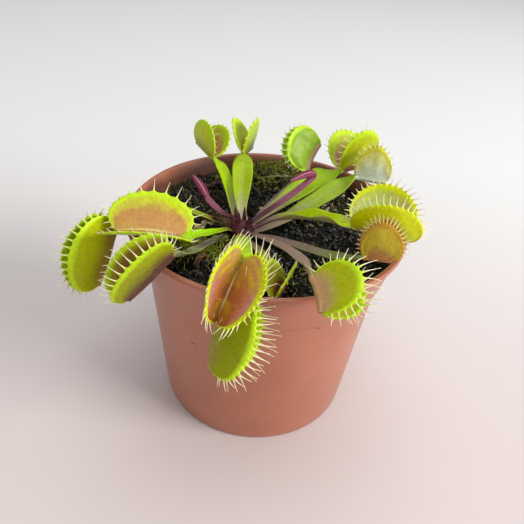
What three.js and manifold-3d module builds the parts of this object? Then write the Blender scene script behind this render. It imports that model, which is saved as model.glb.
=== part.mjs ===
// Venus flytrap in a 9 cm plastic pot.
// Millimetres, +Z up. The pot stands on Z = 0 and its axis is the Z axis.
import * as THREE from 'three';
import { mergeVertices } from 'three/addons/utils/BufferGeometryUtils.js';
import Module from 'manifold-3d';

// pot
const potHeight = 72;
const rimRadius = 45;
const lipWidth = 1.7;
const lipHeight = 1.6;
const collarRadius = 40.6;
const collarBottom = 57;
const bodyRadius = 39.2;
const baseRadius = 33.8;
const floorThickness = 1.6;
const wall = 1.1;
const potSides = 32;
const drainRadius = 3;
const drainRing = 24;
const drainCount = 6;

// soil and crown
const fitGap = 0.35;
const crownX = -8;
const crownY = -3;
const crownRadius = 4.5;
const crownFoot = 58;
const pitRadius = 5.2;
const pitFloor = 57.5;
const soilRings = 6;
const soilLevel = 65.6;

// leaves
const bladeThickness = 0.7;
const ribRadius = 0.85;
const toothWidth = 0.62;
const lobeBands = 2;

const wasm = await Module();
wasm.setup();

const rad = THREE.MathUtils.degToRad;
const vec = (x, y, z) => new THREE.Vector3(x, y, z);

// unit vector from azimuth (from +X towards +Y) and elevation, in degrees
function direction(azimuth, elevation) {
  const flat = Math.cos(rad(elevation));
  return vec(flat * Math.cos(rad(azimuth)), flat * Math.sin(rad(azimuth)), Math.sin(rad(elevation)));
}

// six times the signed volume, positive when the faces look outwards
function signedVolume(points, faces) {
  let sum = 0;
  for (const [a, b, c] of faces) {
    sum += points[a].dot(points[b].clone().cross(points[c]));
  }
  return sum;
}

function solid(points, faces) {
  const flip = signedVolume(points, faces) < 0;
  const vertProperties = new Float32Array(points.flatMap((p) => [p.x, p.y, p.z]));
  const triVerts = new Uint32Array(faces.flatMap(([a, b, c]) => (flip ? [a, c, b] : [a, b, c])));
  return new wasm.Manifold(new wasm.Mesh({ numProp: 3, vertProperties, triVerts }));
}

// the same solid with its points on a grid of a thousandth of a millimetre and no doubles
function weld(body) {
  const data = body.getMesh();
  const snapped = Float32Array.from(data.vertProperties, (value) => Math.round(value * 1000) / 1000);
  const geometry = new THREE.BufferGeometry();
  geometry.setAttribute('position', new THREE.BufferAttribute(snapped, 3));
  geometry.setIndex(Array.from(data.triVerts));
  const merged = mergeVertices(geometry, 1e-3);
  const vertProperties = Float32Array.from(merged.attributes.position.array);
  const triVerts = new Uint32Array(merged.index.array);
  return new wasm.Manifold(new wasm.Mesh({ numProp: 3, vertProperties, triVerts }));
}

// union of several solids, kept as its largest piece with no sealed hollow
function fuse(parts) {
  const whole = weld(parts.reduce((sum, part) => sum.add(part)));
  const pieces = whole.decompose();
  return pieces.reduce((best, piece) => (piece.volume() > best.volume() ? piece : best));
}

function toMesh(body, name, colour, roughness) {
  const data = body.getMesh();
  const geometry = new THREE.BufferGeometry();
  const positions = Float32Array.from(data.vertProperties);
  geometry.setAttribute('position', new THREE.BufferAttribute(positions, 3));
  geometry.setIndex(Array.from(data.triVerts));
  geometry.computeVertexNormals();
  const material = new THREE.MeshStandardMaterial({ color: colour, roughness, metalness: 0 });
  const mesh = new THREE.Mesh(geometry, material);
  mesh.name = name;
  return mesh;
}

// closed skin through rings of equal size, with a fan over each end
function skin(rings) {
  const count = rings[0].length;
  const points = rings.flat();
  const faces = [];
  for (let i = 0; i + 1 < rings.length; i += 1) {
    for (let j = 0; j < count; j += 1) {
      const k = (j + 1) % count;
      const a = i * count + j;
      const b = i * count + k;
      const c = a + count;
      const d = b + count;
      faces.push([a, b, d], [a, d, c]);
    }
  }
  const middle = (ring) => ring.reduce((sum, p) => sum.add(p), vec(0, 0, 0)).divideScalar(count);
  const first = points.push(middle(rings[0])) - 1;
  const last = points.push(middle(rings[rings.length - 1])) - 1;
  const top = (rings.length - 1) * count;
  for (let j = 0; j < count; j += 1) {
    const k = (j + 1) % count;
    faces.push([first, k, j], [last, top + j, top + k]);
  }
  return solid(points, faces);
}

// body of revolution about an upright axis; the profile runs [radius, height] from axis to axis
function revolve(profile, sides, axisX, axisY, swell) {
  const points = [];
  const faces = [];
  const rings = profile.slice(1, -1);
  for (const [radius, height] of rings) {
    for (let j = 0; j < sides; j += 1) {
      const angle = (j / sides) * 2 * Math.PI;
      const r = radius * (swell ? swell(angle, height) : 1);
      points.push(vec(axisX + r * Math.cos(angle), axisY + r * Math.sin(angle), height));
    }
  }
  for (let i = 0; i + 1 < rings.length; i += 1) {
    for (let j = 0; j < sides; j += 1) {
      const k = (j + 1) % sides;
      const a = i * sides + j;
      const b = i * sides + k;
      faces.push([a, b, b + sides], [a, b + sides, a + sides]);
    }
  }
  const foot = points.push(vec(axisX, axisY, profile[0][1])) - 1;
  const head = points.push(vec(axisX, axisY, profile[profile.length - 1][1])) - 1;
  const top = (rings.length - 1) * sides;
  for (let j = 0; j < sides; j += 1) {
    const k = (j + 1) % sides;
    faces.push([foot, k, j], [head, top + j, top + k]);
  }
  return solid(points, faces);
}

// ---- pot, soil, crown ----

function makePot() {
  const profile = [
    [0, 0],
    [baseRadius - 0.8, 0],
    [baseRadius, 0.8],
    [bodyRadius, collarBottom],
    [collarRadius, collarBottom],
    [rimRadius - 1.4, potHeight - lipHeight - 0.4],
    [rimRadius, potHeight - lipHeight],
    [rimRadius, potHeight],
    [rimRadius - lipWidth, potHeight],
    [collarRadius - wall, collarBottom + 1.2],
    [bodyRadius - wall, collarBottom - 1.2],
    [baseRadius - wall, floorThickness],
    [0, floorThickness],
  ];
  let pot = revolve(profile, potSides, 0, 0);
  for (let i = 0; i < drainCount; i += 1) {
    const angle = ((i + 0.5) / drainCount) * 2 * Math.PI;
    const x = drainRing * Math.cos(angle);
    const y = drainRing * Math.sin(angle);
    const tool = [[0, -1], [drainRadius, -1], [drainRadius, floorThickness + 1], [0, floorThickness + 1]];
    pot = pot.subtract(revolve(tool, 8, x, y));
  }
  return pot;
}

// height of the soil: rough ground, a mossy mound at the back, a dip round the crown
function soilHeight(x, y) {
  const rough = 0.45 * Math.sin(0.31 * x + 0.9) * Math.cos(0.27 * y - 0.4) + 0.3 * Math.sin(0.17 * x - 0.41 * y);
  const mound = 4.6 * Math.exp(-(((x - 5) / 17) ** 2) - (((y - 37) / 9) ** 2));
  const dip = 2.2 * Math.exp(-(((x - crownX) ** 2 + (y - crownY) ** 2) / 110));
  return soilLevel + rough + mound - dip;
}

function makeSoil() {
  const innerCollar = collarRadius - wall - fitGap;
  const innerBody = bodyRadius - wall - fitGap;
  const innerBase = baseRadius - wall - fitGap;
  const slope = (rimRadius - lipWidth - collarRadius + wall) / (potHeight - collarBottom - 1.2);
  const circle = (centreX, centreY, radius, height) => {
    const ring = [];
    for (let j = 0; j < potSides; j += 1) {
      const angle = (j / potSides) * 2 * Math.PI;
      const x = centreX + radius * Math.cos(angle);
      const y = centreY + radius * Math.sin(angle);
      ring.push(vec(x, y, height));
    }
    return ring;
  };
  const edgeRadius = innerCollar + slope * (soilLevel - collarBottom - 1.2);
  const pit = circle(crownX, crownY, pitRadius, pitFloor);
  const edge = circle(0, 0, edgeRadius, soilLevel);
  const rings = [
    circle(0, 0, innerBase, floorThickness + fitGap),
    circle(0, 0, innerBody, collarBottom - 1.2 + fitGap),
    circle(0, 0, innerCollar, collarBottom + 1.2 + fitGap),
  ];
  for (let i = soilRings; i >= 0; i -= 1) {
    const share = i / soilRings;
    rings.push(pit.map((p, j) => {
      const q = p.clone().lerp(edge[j], share);
      if (i === soilRings) {
        const height = soilHeight(q.x, q.y);
        const radius = innerCollar + slope * (height - collarBottom - 1.2);
        q.multiplyScalar(radius / Math.hypot(q.x, q.y));
        q.z = height;
      } else {
        q.z = soilHeight(q.x, q.y);
      }
      return q;
    }));
  }
  rings.push(pit);
  return skin(rings);
}

// short upright sheath left by an old leaf
function spear(foot, head, radius) {
  const axis = head.clone().sub(foot).normalize();
  const across = axis.clone().cross(vec(0, 1, 0)).normalize();
  const along = across.clone().cross(axis);
  const stations = [[0, 1], [0.45, 1.1], [0.8, 0.65], [1, 0.22]];
  return skin(stations.map(([share, size]) => {
    const centre = foot.clone().lerp(head, share);
    const ring = [];
    for (let j = 0; j < 5; j += 1) {
      const angle = (j / 5) * 2 * Math.PI;
      const p = centre.clone().addScaledVector(across, radius * size * Math.cos(angle));
      ring.push(p.addScaledVector(along, 0.6 * radius * size * Math.sin(angle)));
    }
    return ring;
  }));
}

function makeCrown() {
  const profile = [
    [0, crownFoot],
    [2.6, crownFoot],
    [4.1, crownFoot + 2],
    [crownRadius, crownFoot + 5],
    [crownRadius, crownFoot + 10.4],
    [3.6, crownFoot + 11.2],
    [2.8, crownFoot + 11.5],
    [2.7, crownFoot + 12.8],
    [1.5, crownFoot + 13.6],
    [0, crownFoot + 13.8],
  ];
  const lumps = (angle, height) => 1 - 0.02 * (1 + Math.sin(5 * angle + height));
  const body = revolve(profile, 14, crownX, crownY, lumps);
  return fuse([
    body,
    spear(vec(-10.2, -4.8, 68), vec(-12, -5.2, 72.6), 1.0),
    spear(vec(-8.6, -5.2, 68), vec(-8.2, -5.4, 73.2), 1.1),
    spear(vec(-6.6, -5.6, 67.5), vec(-6, -6.4, 71.4), 0.8),
  ]);
}

// ---- traps ----

// midrib direction, mouth direction and left side of a trap
function trapFrame(trap) {
  const along = direction(...trap.aim);
  const face = direction(...trap.face);
  const mouth = face.addScaledVector(along, -face.dot(along)).normalize();
  const left = along.clone().cross(mouth);
  return { along, mouth, left };
}

// A point of one lobe. x runs along the midrib from its middle, y out from it over the lobe.
// The midrib is an arc, the lobe bends about it by the cup angle, lift moves the point inwards.
function lobePoint(trap, side, x, y, lift) {
  const { along, mouth, left } = trapFrame(trap);
  const [length, height] = trap.size;
  const seat = 0.4 * length;
  const bend = rad(trap.arch || 0.01) / (2 * seat);
  const ribX = THREE.MathUtils.clamp(x, -seat, seat);
  const beyond = x - ribX;
  const turn = bend * ribX;
  const runX = Math.sin(turn) / bend + beyond * Math.cos(turn) + Math.sin(bend * seat) / bend;
  const runZ = (Math.cos(turn) - Math.cos(bend * seat)) / bend - beyond * Math.sin(turn);
  const up = mouth.clone().multiplyScalar(Math.cos(turn)).addScaledVector(along, Math.sin(turn));
  const open = side > 0 ? trap.open[0] : trap.open[1];
  const lean = rad(open + trap.cup / 2);
  const curl = rad(trap.cup || 0.01) / height;
  const out = (Math.cos(lean - curl * y) - Math.cos(lean)) / curl;
  const rise = (Math.sin(lean) - Math.sin(lean - curl * y)) / curl;
  const slant = lean - curl * y;
  const inward = left.clone().multiplyScalar(-side * Math.cos(slant)).addScaledVector(up, Math.sin(slant));
  const clasp = trap.clam * length * (2 * x / length) ** 2 * THREE.MathUtils.clamp(y / height, 0, 1);
  return vec(...trap.at)
    .addScaledVector(along, runX)
    .addScaledVector(mouth, runZ)
    .addScaledVector(left, side * out)
    .addScaledVector(up, rise)
    .addScaledVector(inward, clasp + lift);
}

// Margin of a lobe for t from 0 at the stalk to 1 at the tip, with its foot on the midrib.
// The feet of the two lobes end a little apart, so that their end faces never lie in one plane.
function margin(trap, side, t) {
  const [length, height] = trap.size;
  const centre = 0.4 * height;
  const rise = height - centre;
  const start = Math.asin((centre - 0.06 * height) / rise);
  const angle = -start + t * (Math.PI + 2 * start);
  return {
    x: -0.5 * length * Math.cos(angle),
    y: centre + rise * Math.sin(angle),
    foot: (side > 0 ? -0.4 : -0.38) * length * Math.cos(Math.PI * t),
  };
}

function bladePoint(trap, side, t, share, lift) {
  const edge = margin(trap, side, t);
  return lobePoint(trap, side, edge.foot + (edge.x - edge.foot) * share, edge.y * share, lift);
}

// one lobe: a blade of even thickness whose rim is drawn out into hooked teeth
function lobe(trap, side) {
  const count = trap.teeth;
  const points = [];
  const faces = [];
  const half = bladeThickness / 2;
  const index = (face, i, j) => face * (count + 1) * (lobeBands + 1) + i * (lobeBands + 1) + j;
  for (const lift of [half, -half]) {
    for (let i = 0; i <= count; i += 1) {
      for (let j = 0; j <= lobeBands; j += 1) {
        points.push(bladePoint(trap, side, i / count, j / lobeBands, lift));
      }
    }
  }
  const quad = (a, b, c, d) => faces.push([a, b, c], [a, c, d]);
  for (let i = 0; i < count; i += 1) {
    for (let j = 0; j < lobeBands; j += 1) {
      quad(index(0, i, j), index(0, i, j + 1), index(0, i + 1, j + 1), index(0, i + 1, j));
      faces.push([index(1, i, j), index(1, i + 1, j + 1), index(1, i, j + 1)]);
      faces.push([index(1, i, j), index(1, i + 1, j), index(1, i + 1, j + 1)]);
    }
    quad(index(0, i, 0), index(0, i + 1, 0), index(1, i + 1, 0), index(1, i, 0));
    tooth(i);
  }
  for (let j = 0; j < lobeBands; j += 1) {
    quad(index(0, 0, j), index(1, 0, j), index(1, 0, j + 1), index(0, 0, j + 1));
    quad(index(0, count, j), index(0, count, j + 1), index(1, count, j + 1), index(1, count, j));
  }

  function tooth(i) {
    const t = (i + 0.5) / count;
    const root = bladePoint(trap, side, t, 1, 0);
    const ahead = bladePoint(trap, side, t + 0.01, 1, 0).sub(root).normalize();
    const out = root.clone().sub(bladePoint(trap, side, t, 0.97, 0));
    out.addScaledVector(ahead, -out.dot(ahead)).normalize();
    const inside = bladePoint(trap, side, t, 1, 1).sub(root);
    inside.addScaledVector(ahead, -inside.dot(ahead)).addScaledVector(out, -inside.dot(out)).normalize();
    const longest = trap.tooth[side > 0 ? 0 : 1];
    const length = longest * (0.5 + 0.5 * Math.sin(Math.PI * t));
    const bite = rad(trap.bite);
    const hook = rad(trap.bite + trap.hook);
    const neck = root.clone()
      .addScaledVector(out, 0.24 * length * Math.cos(bite))
      .addScaledVector(inside, 0.24 * length * Math.sin(bite));
    const tip = neck.clone()
      .addScaledVector(out, 0.76 * length * Math.cos(hook))
      .addScaledVector(inside, 0.76 * length * Math.sin(hook));
    const w = toothWidth / 2;
    const corner = (u, v) => points.push(neck.clone().addScaledVector(ahead, u).addScaledVector(inside, v)) - 1;
    const low = [index(0, i, lobeBands), index(0, i + 1, lobeBands), index(1, i + 1, lobeBands), index(1, i, lobeBands)];
    const high = [corner(-w, w), corner(w, w), corner(w, -w), corner(-w, -w)];
    const apex = points.push(tip) - 1;
    for (let k = 0; k < 4; k += 1) {
      const m = (k + 1) % 4;
      quad(low[k], high[k], high[m], low[m]);
      faces.push([high[k], apex, high[m]]);
    }
  }
  return solid(points, faces);
}

// ---- stalks ----

function curvePoint(path, s) {
  const q = 1 - s;
  const weights = [q ** 3, 3 * q * q * s, 3 * q * s * s, s ** 3];
  return path.reduce((sum, p, i) => sum.addScaledVector(vec(...p), weights[i]), vec(0, 0, 0));
}

// half width of a blade: narrow foot, widest near the end, then a short neck
function bladeWidth(stalk, s) {
  const [foot, widest] = stalk.width;
  const peak = stalk.peak || 0.72;
  const grow = THREE.MathUtils.smoothstep(s, 0, peak);
  if (s <= peak) {
    return foot + (widest - foot) * grow;
  }
  const fall = (s - peak) / (1 - peak);
  return ribRadius + (widest - ribRadius) * Math.sqrt(Math.max(0, 1 - fall ** 2.2));
}

// cross-section of a folded blade: two wings raised by the fold angle from a thicker middle
function bladeRing(centre, across, up, half, edge, middle, fold) {
  const reach = half * Math.cos(fold);
  const lift = half * Math.sin(fold);
  const spots = [
    [-reach, lift + edge],
    [0, middle],
    [reach, lift + edge],
    [reach, lift - edge],
    [0, -middle],
    [-reach, lift - edge],
  ];
  return spots.map(([u, v]) => centre.clone().addScaledVector(across, u).addScaledVector(up, v));
}

// winged leaf stalk that runs on as the midrib of its trap
function stalkBody(stalk, trap) {
  const spine = [0, 0.12, 0.27, 0.42, 0.57, 0.7, 0.81, 0.9, 0.96];
  const centres = spine.map((s) => curvePoint(stalk.path, s));
  const ribs = trap ? [-0.4, -0.22, 0, 0.22, 0.4, 0.45] : [];
  const mouth = trap ? trapFrame(trap).mouth : direction(...stalk.up);
  for (const share of ribs) {
    centres.push(lobePoint(trap, 1, share * trap.size[0], 0, 0).addScaledVector(mouth, -0.2));
  }
  const start = direction(...stalk.up);
  const last = centres.length - 1;
  const rings = centres.map((centre, i) => {
    const before = centres[Math.max(0, i - 1)];
    const after = centres[Math.min(last, i + 1)];
    const ahead = after.clone().sub(before).normalize();
    const blade = i < spine.length;
    const turn = blade ? THREE.MathUtils.smoothstep(spine[i], 0.75, 1) : 1;
    const up = start.clone().lerp(mouth, turn).normalize();
    const across = ahead.clone().cross(up).normalize();
    const normal = across.clone().cross(ahead);
    if (blade) {
      const half = bladeWidth(stalk, spine[i]);
      const fold = rad(stalk.fold) * (1 - turn);
      const middle = 0.42 + 0.35 * turn;
      return bladeRing(centre, across, normal, half, 0.3, middle, fold);
    }
    const taper = 1 - 0.35 * (i - spine.length) / ribs.length;
    return bladeRing(centre, across, normal, ribRadius * taper, 0.42 * taper, ribRadius * taper, 0);
  });
  return skin(rings);
}

function leaf(spec) {
  return fuse([stalkBody(spec.stalk, spec.trap), lobe(spec.trap, 1), lobe(spec.trap, -1)]);
}

// young leaf: a narrow stalk that ends in a furled, flattened trap
function youngLeaf(spec) {
  const shares = [0, 0.12, 0.3, 0.5, 0.7, 0.88, 1];
  const sizes = [0.45, 0.8, 1, 1, 0.85, 0.55, 0.25];
  const up = direction(...spec.bud.up);
  const centres = shares.map((s) => curvePoint(spec.bud.path, s));
  const rings = centres.map((centre, i) => {
    const before = centres[Math.max(0, i - 1)];
    const after = centres[Math.min(centres.length - 1, i + 1)];
    const ahead = after.clone().sub(before).normalize();
    const across = ahead.clone().cross(up).normalize();
    const normal = across.clone().cross(ahead);
    const ring = [];
    for (let j = 0; j < 8; j += 1) {
      const angle = (j / 8) * 2 * Math.PI;
      const p = centre.clone().addScaledVector(across, spec.bud.size[0] * sizes[i] * Math.cos(angle));
      ring.push(p.addScaledVector(normal, spec.bud.size[1] * sizes[i] * Math.sin(angle)));
    }
    return ring;
  });
  return fuse([stalkBody(spec.stalk, null), skin(rings)]);
}

// Each leaf: a stalk path with its half widths, wing fold and upward side, and a trap with its
// seat, midrib aim, mouth facing, length and height, opening of both lobes and the rest.
const leaves = {
  leaf_left_open: {
    colour: 0xb9b13c,
    stalk: {
      path: [[-12.65, -5.6, 67.5], [-16, -11, 69.5], [-18.5, -18, 73], [-24.7, -19, 72]],
      width: [1.1, 2.2],
      up: [0, 90],
      fold: 20,
    },
    trap: {
      at: [-24.7, -19, 72],
      aim: [187, 5],
      face: [-54, 80],
      size: [24, 12.5],
      open: [60, 51],
      cup: 35,
      arch: 30,
      clam: 0.06,
      tooth: [4.4, 2.6],
      bite: 5,
      hook: 15,
      teeth: 12,
    },
  },
  leaf_left_far: {
    colour: 0x9fa51e,
    stalk: {
      path: [[-13.2, -2.5, 67.4], [-24, -4, 72], [-38, -6, 80], [-46, -13, 71]],
      width: [1, 2],
      up: [0, 90],
      fold: 15,
    },
    trap: {
      at: [-46, -13, 71],
      aim: [243, -60],
      face: [-135, 27],
      size: [25.8, 15],
      open: [8, 6.5],
      cup: 31,
      arch: -17,
      clam: 0.06,
      tooth: [5.5, 5.5],
      bite: 18,
      hook: 20,
      teeth: 12,
    },
  },
  leaf_left_near: {
    colour: 0xa3a32c,
    stalk: {
      path: [[-12.3, -5.4, 65], [-17, -8.5, 65.8], [-22, -26, 69], [-24, -36, 78]],
      width: [1, 1.8],
      up: [0, 90],
      fold: 15,
    },
    trap: {
      at: [-24, -36, 78],
      aim: [214, -40],
      face: [-160, 48],
      size: [22, 11.5],
      open: [18, 27],
      cup: 30,
      arch: -15,
      clam: 0.06,
      tooth: [3.2, 4.6],
      bite: 10,
      hook: 20,
      teeth: 12,
    },
  },
  leaf_back_left: {
    colour: 0xa7ad2e,
    stalk: {
      path: [[-9.6, 1.9, 65.4], [-13, 7, 67.8], [-14, 20, 74], [-20.5, 20.5, 79.5]],
      width: [1.1, 2.2],
      up: [-60, 40],
      fold: 30,
    },
    trap: {
      at: [-20.5, 20.5, 79.5],
      aim: [128, 8],
      face: [25, 62],
      size: [14.5, 11],
      open: [21, 27],
      cup: 36,
      arch: -6,
      clam: 0.06,
      tooth: [2, 2.2],
      bite: 6,
      hook: 10,
      teeth: 10,
    },
  },
  leaf_back_mid: {
    colour: 0xaec02c,
    stalk: {
      path: [[-7.6, 2.3, 67.4], [-10, 6, 69.5], [-9.5, 19, 75], [-10.5, 25.5, 79.5]],
      width: [1.2, 3.8],
      up: [-90, 40],
      fold: 18,
    },
    trap: {
      at: [-10.5, 25.5, 79.5],
      aim: [75, -8],
      face: [106, 82],
      size: [13.3, 12.4],
      open: [15, 27],
      cup: 5,
      arch: -6,
      clam: 0.06,
      tooth: [2.2, 1.8],
      bite: 3,
      hook: 10,
      teeth: 10,
    },
  },
  leaf_back_right: {
    colour: 0xaecb3a,
    stalk: {
      path: [[-5, 1.2, 65.4], [-1.5, 9, 68.5], [8, 22, 69], [12.3, 22.3, 77]],
      width: [1, 1.6],
      up: [-90, 60],
      fold: 20,
    },
    trap: {
      at: [12.3, 22.3, 77],
      aim: [61, 39],
      face: [-171, 37],
      size: [14, 12.5],
      open: [7, 7],
      cup: 28,
      arch: 12,
      clam: 0.08,
      tooth: [2.4, 2.4],
      bite: 10,
      hook: 10,
      teeth: 11,
    },
  },
  leaf_right_back: {
    colour: 0xb2bb2a,
    stalk: {
      path: [[-4.4, 0.6, 67.4], [4, 3, 73.5], [15, 21, 76], [24.5, 23, 77.5]],
      width: [1.3, 4.4],
      up: [-80, 78],
      fold: 12,
    },
    trap: {
      at: [24.5, 23, 77.5],
      aim: [32, 5],
      face: [137, 68],
      size: [16.5, 15],
      open: [30, 30],
      cup: 24,
      arch: -4,
      clam: 0.06,
      tooth: [3, 3],
      bite: 8,
      hook: 10,
      teeth: 11,
    },
  },
  leaf_right_pale: {
    colour: 0xb9c48a,
    stalk: {
      path: [[-3.1, -1.4, 65.4], [6, -1.5, 69.5], [20, 12.5, 74.5], [28.5, 16, 79.5]],
      width: [1.2, 3.2],
      up: [-80, 70],
      fold: 12,
    },
    trap: {
      at: [28.5, 16, 79.5],
      aim: [-8, -2],
      face: [72, 73],
      size: [13.5, 12],
      open: [13, 13],
      cup: 34,
      arch: -21,
      clam: 0.06,
      tooth: [2.4, 2.4],
      bite: 12,
      hook: 10,
      teeth: 10,
    },
  },
  leaf_right_large: {
    colour: 0xa4b42a,
    stalk: {
      path: [[-2.4, -2.6, 67.6], [5, -3.5, 75], [18, -12, 77.5], [25, -16, 79]],
      width: [1.2, 3.4],
      up: [-90, 84],
      fold: 55,
    },
    trap: {
      at: [25, -16, 79],
      aim: [-4, -11],
      face: [37, 75],
      size: [20.5, 15.5],
      open: [36, 25],
      cup: 58,
      arch: 0,
      clam: 0.08,
      tooth: [3.6, 3.6],
      bite: 15,
      hook: 15,
      teeth: 13,
    },
  },
  leaf_right_small: {
    colour: 0x9d9440,
    stalk: {
      path: [[-3.2, -5, 65.4], [6, -9.5, 70], [19, -25, 71], [27, -29, 77.5]],
      width: [1.2, 2.2],
      up: [0, 90],
      fold: 5,
    },
    trap: {
      at: [27, -29, 77.5],
      aim: [-12, 5],
      face: [93, 72],
      size: [12, 11],
      open: [11, 12],
      cup: 44,
      arch: -11,
      clam: 0.1,
      tooth: [3, 3],
      bite: 15,
      hook: 10,
      teeth: 10,
    },
  },
  leaf_front_right: {
    colour: 0xa8ab36,
    stalk: {
      path: [[-4.4, -6.6, 67.5], [0.5, -15.5, 71], [10, -32, 80.5], [12.5, -42.5, 79]],
      width: [1.1, 1.7],
      up: [0, 90],
      fold: 8,
    },
    trap: {
      at: [12.5, -42.5, 79],
      aim: [-79, -11],
      face: [8, 19],
      size: [14.5, 12],
      open: [15, 17],
      cup: 24,
      arch: 10,
      clam: 0.06,
      tooth: [5.5, 5],
      bite: 8,
      hook: 10,
      teeth: 12,
    },
  },
  leaf_front_open: {
    colour: 0xb5873a,
    stalk: {
      path: [[-8, -8.2, 67.5], [-7, -22, 75.5], [-6, -34, 83], [-5.5, -42.5, 82.5]],
      width: [1.1, 2.5],
      up: [0, 90],
      fold: 10,
    },
    trap: {
      at: [-5.5, -42.5, 82.5],
      aim: [250, -33],
      face: [-70, 49],
      size: [21.5, 12.5],
      open: [29, 31],
      cup: 20,
      arch: -26,
      clam: 0.03,
      tooth: [5.5, 6],
      bite: 4,
      hook: 10,
      teeth: 12,
    },
  },
  leaf_front_hanging: {
    colour: 0x9aa01c,
    stalk: {
      path: [[-9.6, -7.9, 65.4], [-11, -20, 69], [-12.5, -41, 77.2], [-6.6, -47.8, 74.3]],
      width: [1, 2.2],
      up: [0, 90],
      fold: 10,
    },
    trap: {
      at: [-6.6, -47.8, 74.3],
      aim: [-114, -54],
      face: [-19, -4],
      size: [24.5, 12],
      open: [20, 28],
      cup: 30,
      arch: -45,
      clam: 0.06,
      tooth: [5.5, 6],
      bite: 10,
      hook: 15,
      teeth: 12,
    },
  },
  leaf_front_small: {
    colour: 0xb0b838,
    stalk: {
      path: [[-5.5, -7.5, 65.4], [-4, -14, 67.8], [-1.5, -17, 69.5], [6.6, -30.9, 67.3]],
      width: [0.9, 1.4],
      up: [0, 90],
      fold: 10,
    },
    trap: {
      at: [6.6, -30.9, 67.3],
      aim: [-107, 5],
      face: [40, 85],
      size: [12.2, 9.5],
      open: [33, 15],
      cup: 7,
      arch: 3,
      clam: 0.03,
      tooth: [2.2, 1.8],
      bite: 4,
      hook: 10,
      teeth: 9,
    },
  },
};

const youngLeaves = {
  young_leaf_left: {
    colour: 0x8a4a5c,
    stalk: {
      path: [[-11.6, -2.4, 70.6], [-14.2, -3.6, 71.4], [-17.6, -1.6, 72.6], [-20.4, 3, 74]],
      width: [0.8, 1.3],
      up: [0, 90],
      fold: 20,
    },
    bud: { path: [[-20, 2.4, 73.8], [-22, 6, 74.8], [-24, 9, 76], [-26.2, 11, 77.2]], size: [1.5, 1], up: [0, 90] },
  },
  young_leaf_right: {
    colour: 0x8f4a62,
    stalk: {
      path: [[-4.5, -4.1, 70.6], [0, 0.5, 72.6], [8, 3.5, 77], [14.4, 13.4, 79.4]],
      width: [0.8, 1.1],
      up: [-60, 60],
      fold: 15,
    },
    bud: { path: [[13.8, 12.4, 79.2], [15.4, 15, 80.6], [12, 12, 81.4], [6.2, 6, 80.4]], size: [1.5, 1], up: [-60, 60] },
  },
};

const group = new THREE.Group();
group.name = 'potted_venus_flytrap';
group.add(toMesh(makePot(), 'pot', 0xb9775f, 0.5));
group.add(toMesh(makeSoil(), 'soil', 0x2a2521, 0.95));
group.add(toMesh(makeCrown(), 'crown', 0x6b3340, 0.6));
for (const [name, spec] of Object.entries(leaves)) {
  group.add(toMesh(leaf(spec), name, spec.colour, 0.45));
}
for (const [name, spec] of Object.entries(youngLeaves)) {
  group.add(toMesh(youngLeaf(spec), name, spec.colour, 0.5));
}

export default group;
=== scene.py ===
import bpy
import numpy as np
from mathutils import Matrix, Vector


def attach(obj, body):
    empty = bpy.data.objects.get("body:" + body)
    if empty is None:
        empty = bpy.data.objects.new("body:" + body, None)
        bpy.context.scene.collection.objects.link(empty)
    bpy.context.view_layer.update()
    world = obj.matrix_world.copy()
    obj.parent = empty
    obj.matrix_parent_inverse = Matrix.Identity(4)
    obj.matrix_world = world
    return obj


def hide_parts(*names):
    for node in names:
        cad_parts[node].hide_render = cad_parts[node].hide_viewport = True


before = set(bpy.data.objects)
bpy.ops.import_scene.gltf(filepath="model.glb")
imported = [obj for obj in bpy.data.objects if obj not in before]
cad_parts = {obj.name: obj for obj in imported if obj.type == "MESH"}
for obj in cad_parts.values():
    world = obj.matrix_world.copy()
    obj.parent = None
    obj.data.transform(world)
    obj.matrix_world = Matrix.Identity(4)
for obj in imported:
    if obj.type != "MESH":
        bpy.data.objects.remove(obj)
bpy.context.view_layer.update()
print("frame loaded,", len(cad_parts), "nodes")

mm = 0.001  # every size below is in millimetres and is brought to metres as a mesh is made


# camera, light and floor

camera = dict(position=(-0.5, -154.4, 162.6), tilt=35.65, roll=4.95, lens=37.79, sensor=36)
lights = dict(
    window=dict(place=(1150, -420, 640), aim=(0, 0, 40), size=(700, 560), power=18.8,
                colour=(1.0, 0.985, 0.96)),
    ceiling=dict(place=(60, 240, 1500), aim=(0, 120, 40), size=(1300, 1300), power=11.2,
                 colour=(0.97, 0.99, 1.0)),
    front=dict(place=(-260, -950, 560), aim=(0, -20, 60), size=(900, 700), power=2.4,
               colour=(1.0, 0.99, 0.98)),
)
sky = dict(colour=(0.95, 0.96, 1.0), strength=0.33)
floor = dict(reach=3000, near="#d4c8c6", far="#e5e5e3", blend=(-60, 240))  # blend: near to far, along Y


# A colour written as #rrggbb, brought to the linear values that shaders take.
def linear(hexCode):
    raw = np.array([int(hexCode[k:k + 2], 16) for k in (1, 3, 5)]) / 255
    flat = np.where(raw <= 0.04045, raw / 12.92, ((raw + 0.055) / 1.055) ** 2.4)
    return (*[float(c) for c in flat], 1.0)


# small helpers for nodes

# A new node; each value is set on its input socket, or linked to it where it is a socket itself.
def addNode(tree, kind, values=None, **settings):
    node = tree.nodes.new(kind)
    for key, value in settings.items():
        setattr(node, key, value)
    for key, value in (values or {}).items():
        if isinstance(value, bpy.types.NodeSocket):
            tree.links.new(value, node.inputs[key])
        else:
            node.inputs[key].default_value = value
    return node


def mixColour(tree, factor, first, second, blend="MIX"):
    values = {0: factor, 6: first, 7: second}
    return addNode(tree, "ShaderNodeMix", values, data_type="RGBA", blend_type=blend).outputs[2]


def calc(tree, operation, first, second=0.0):
    return addNode(tree, "ShaderNodeMath", {0: first, 1: second}, operation=operation).outputs[0]


def plus(tree, first, second):
    return calc(tree, "ADD", first, second)


def minus(tree, first, second):
    return calc(tree, "SUBTRACT", first, second)


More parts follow.
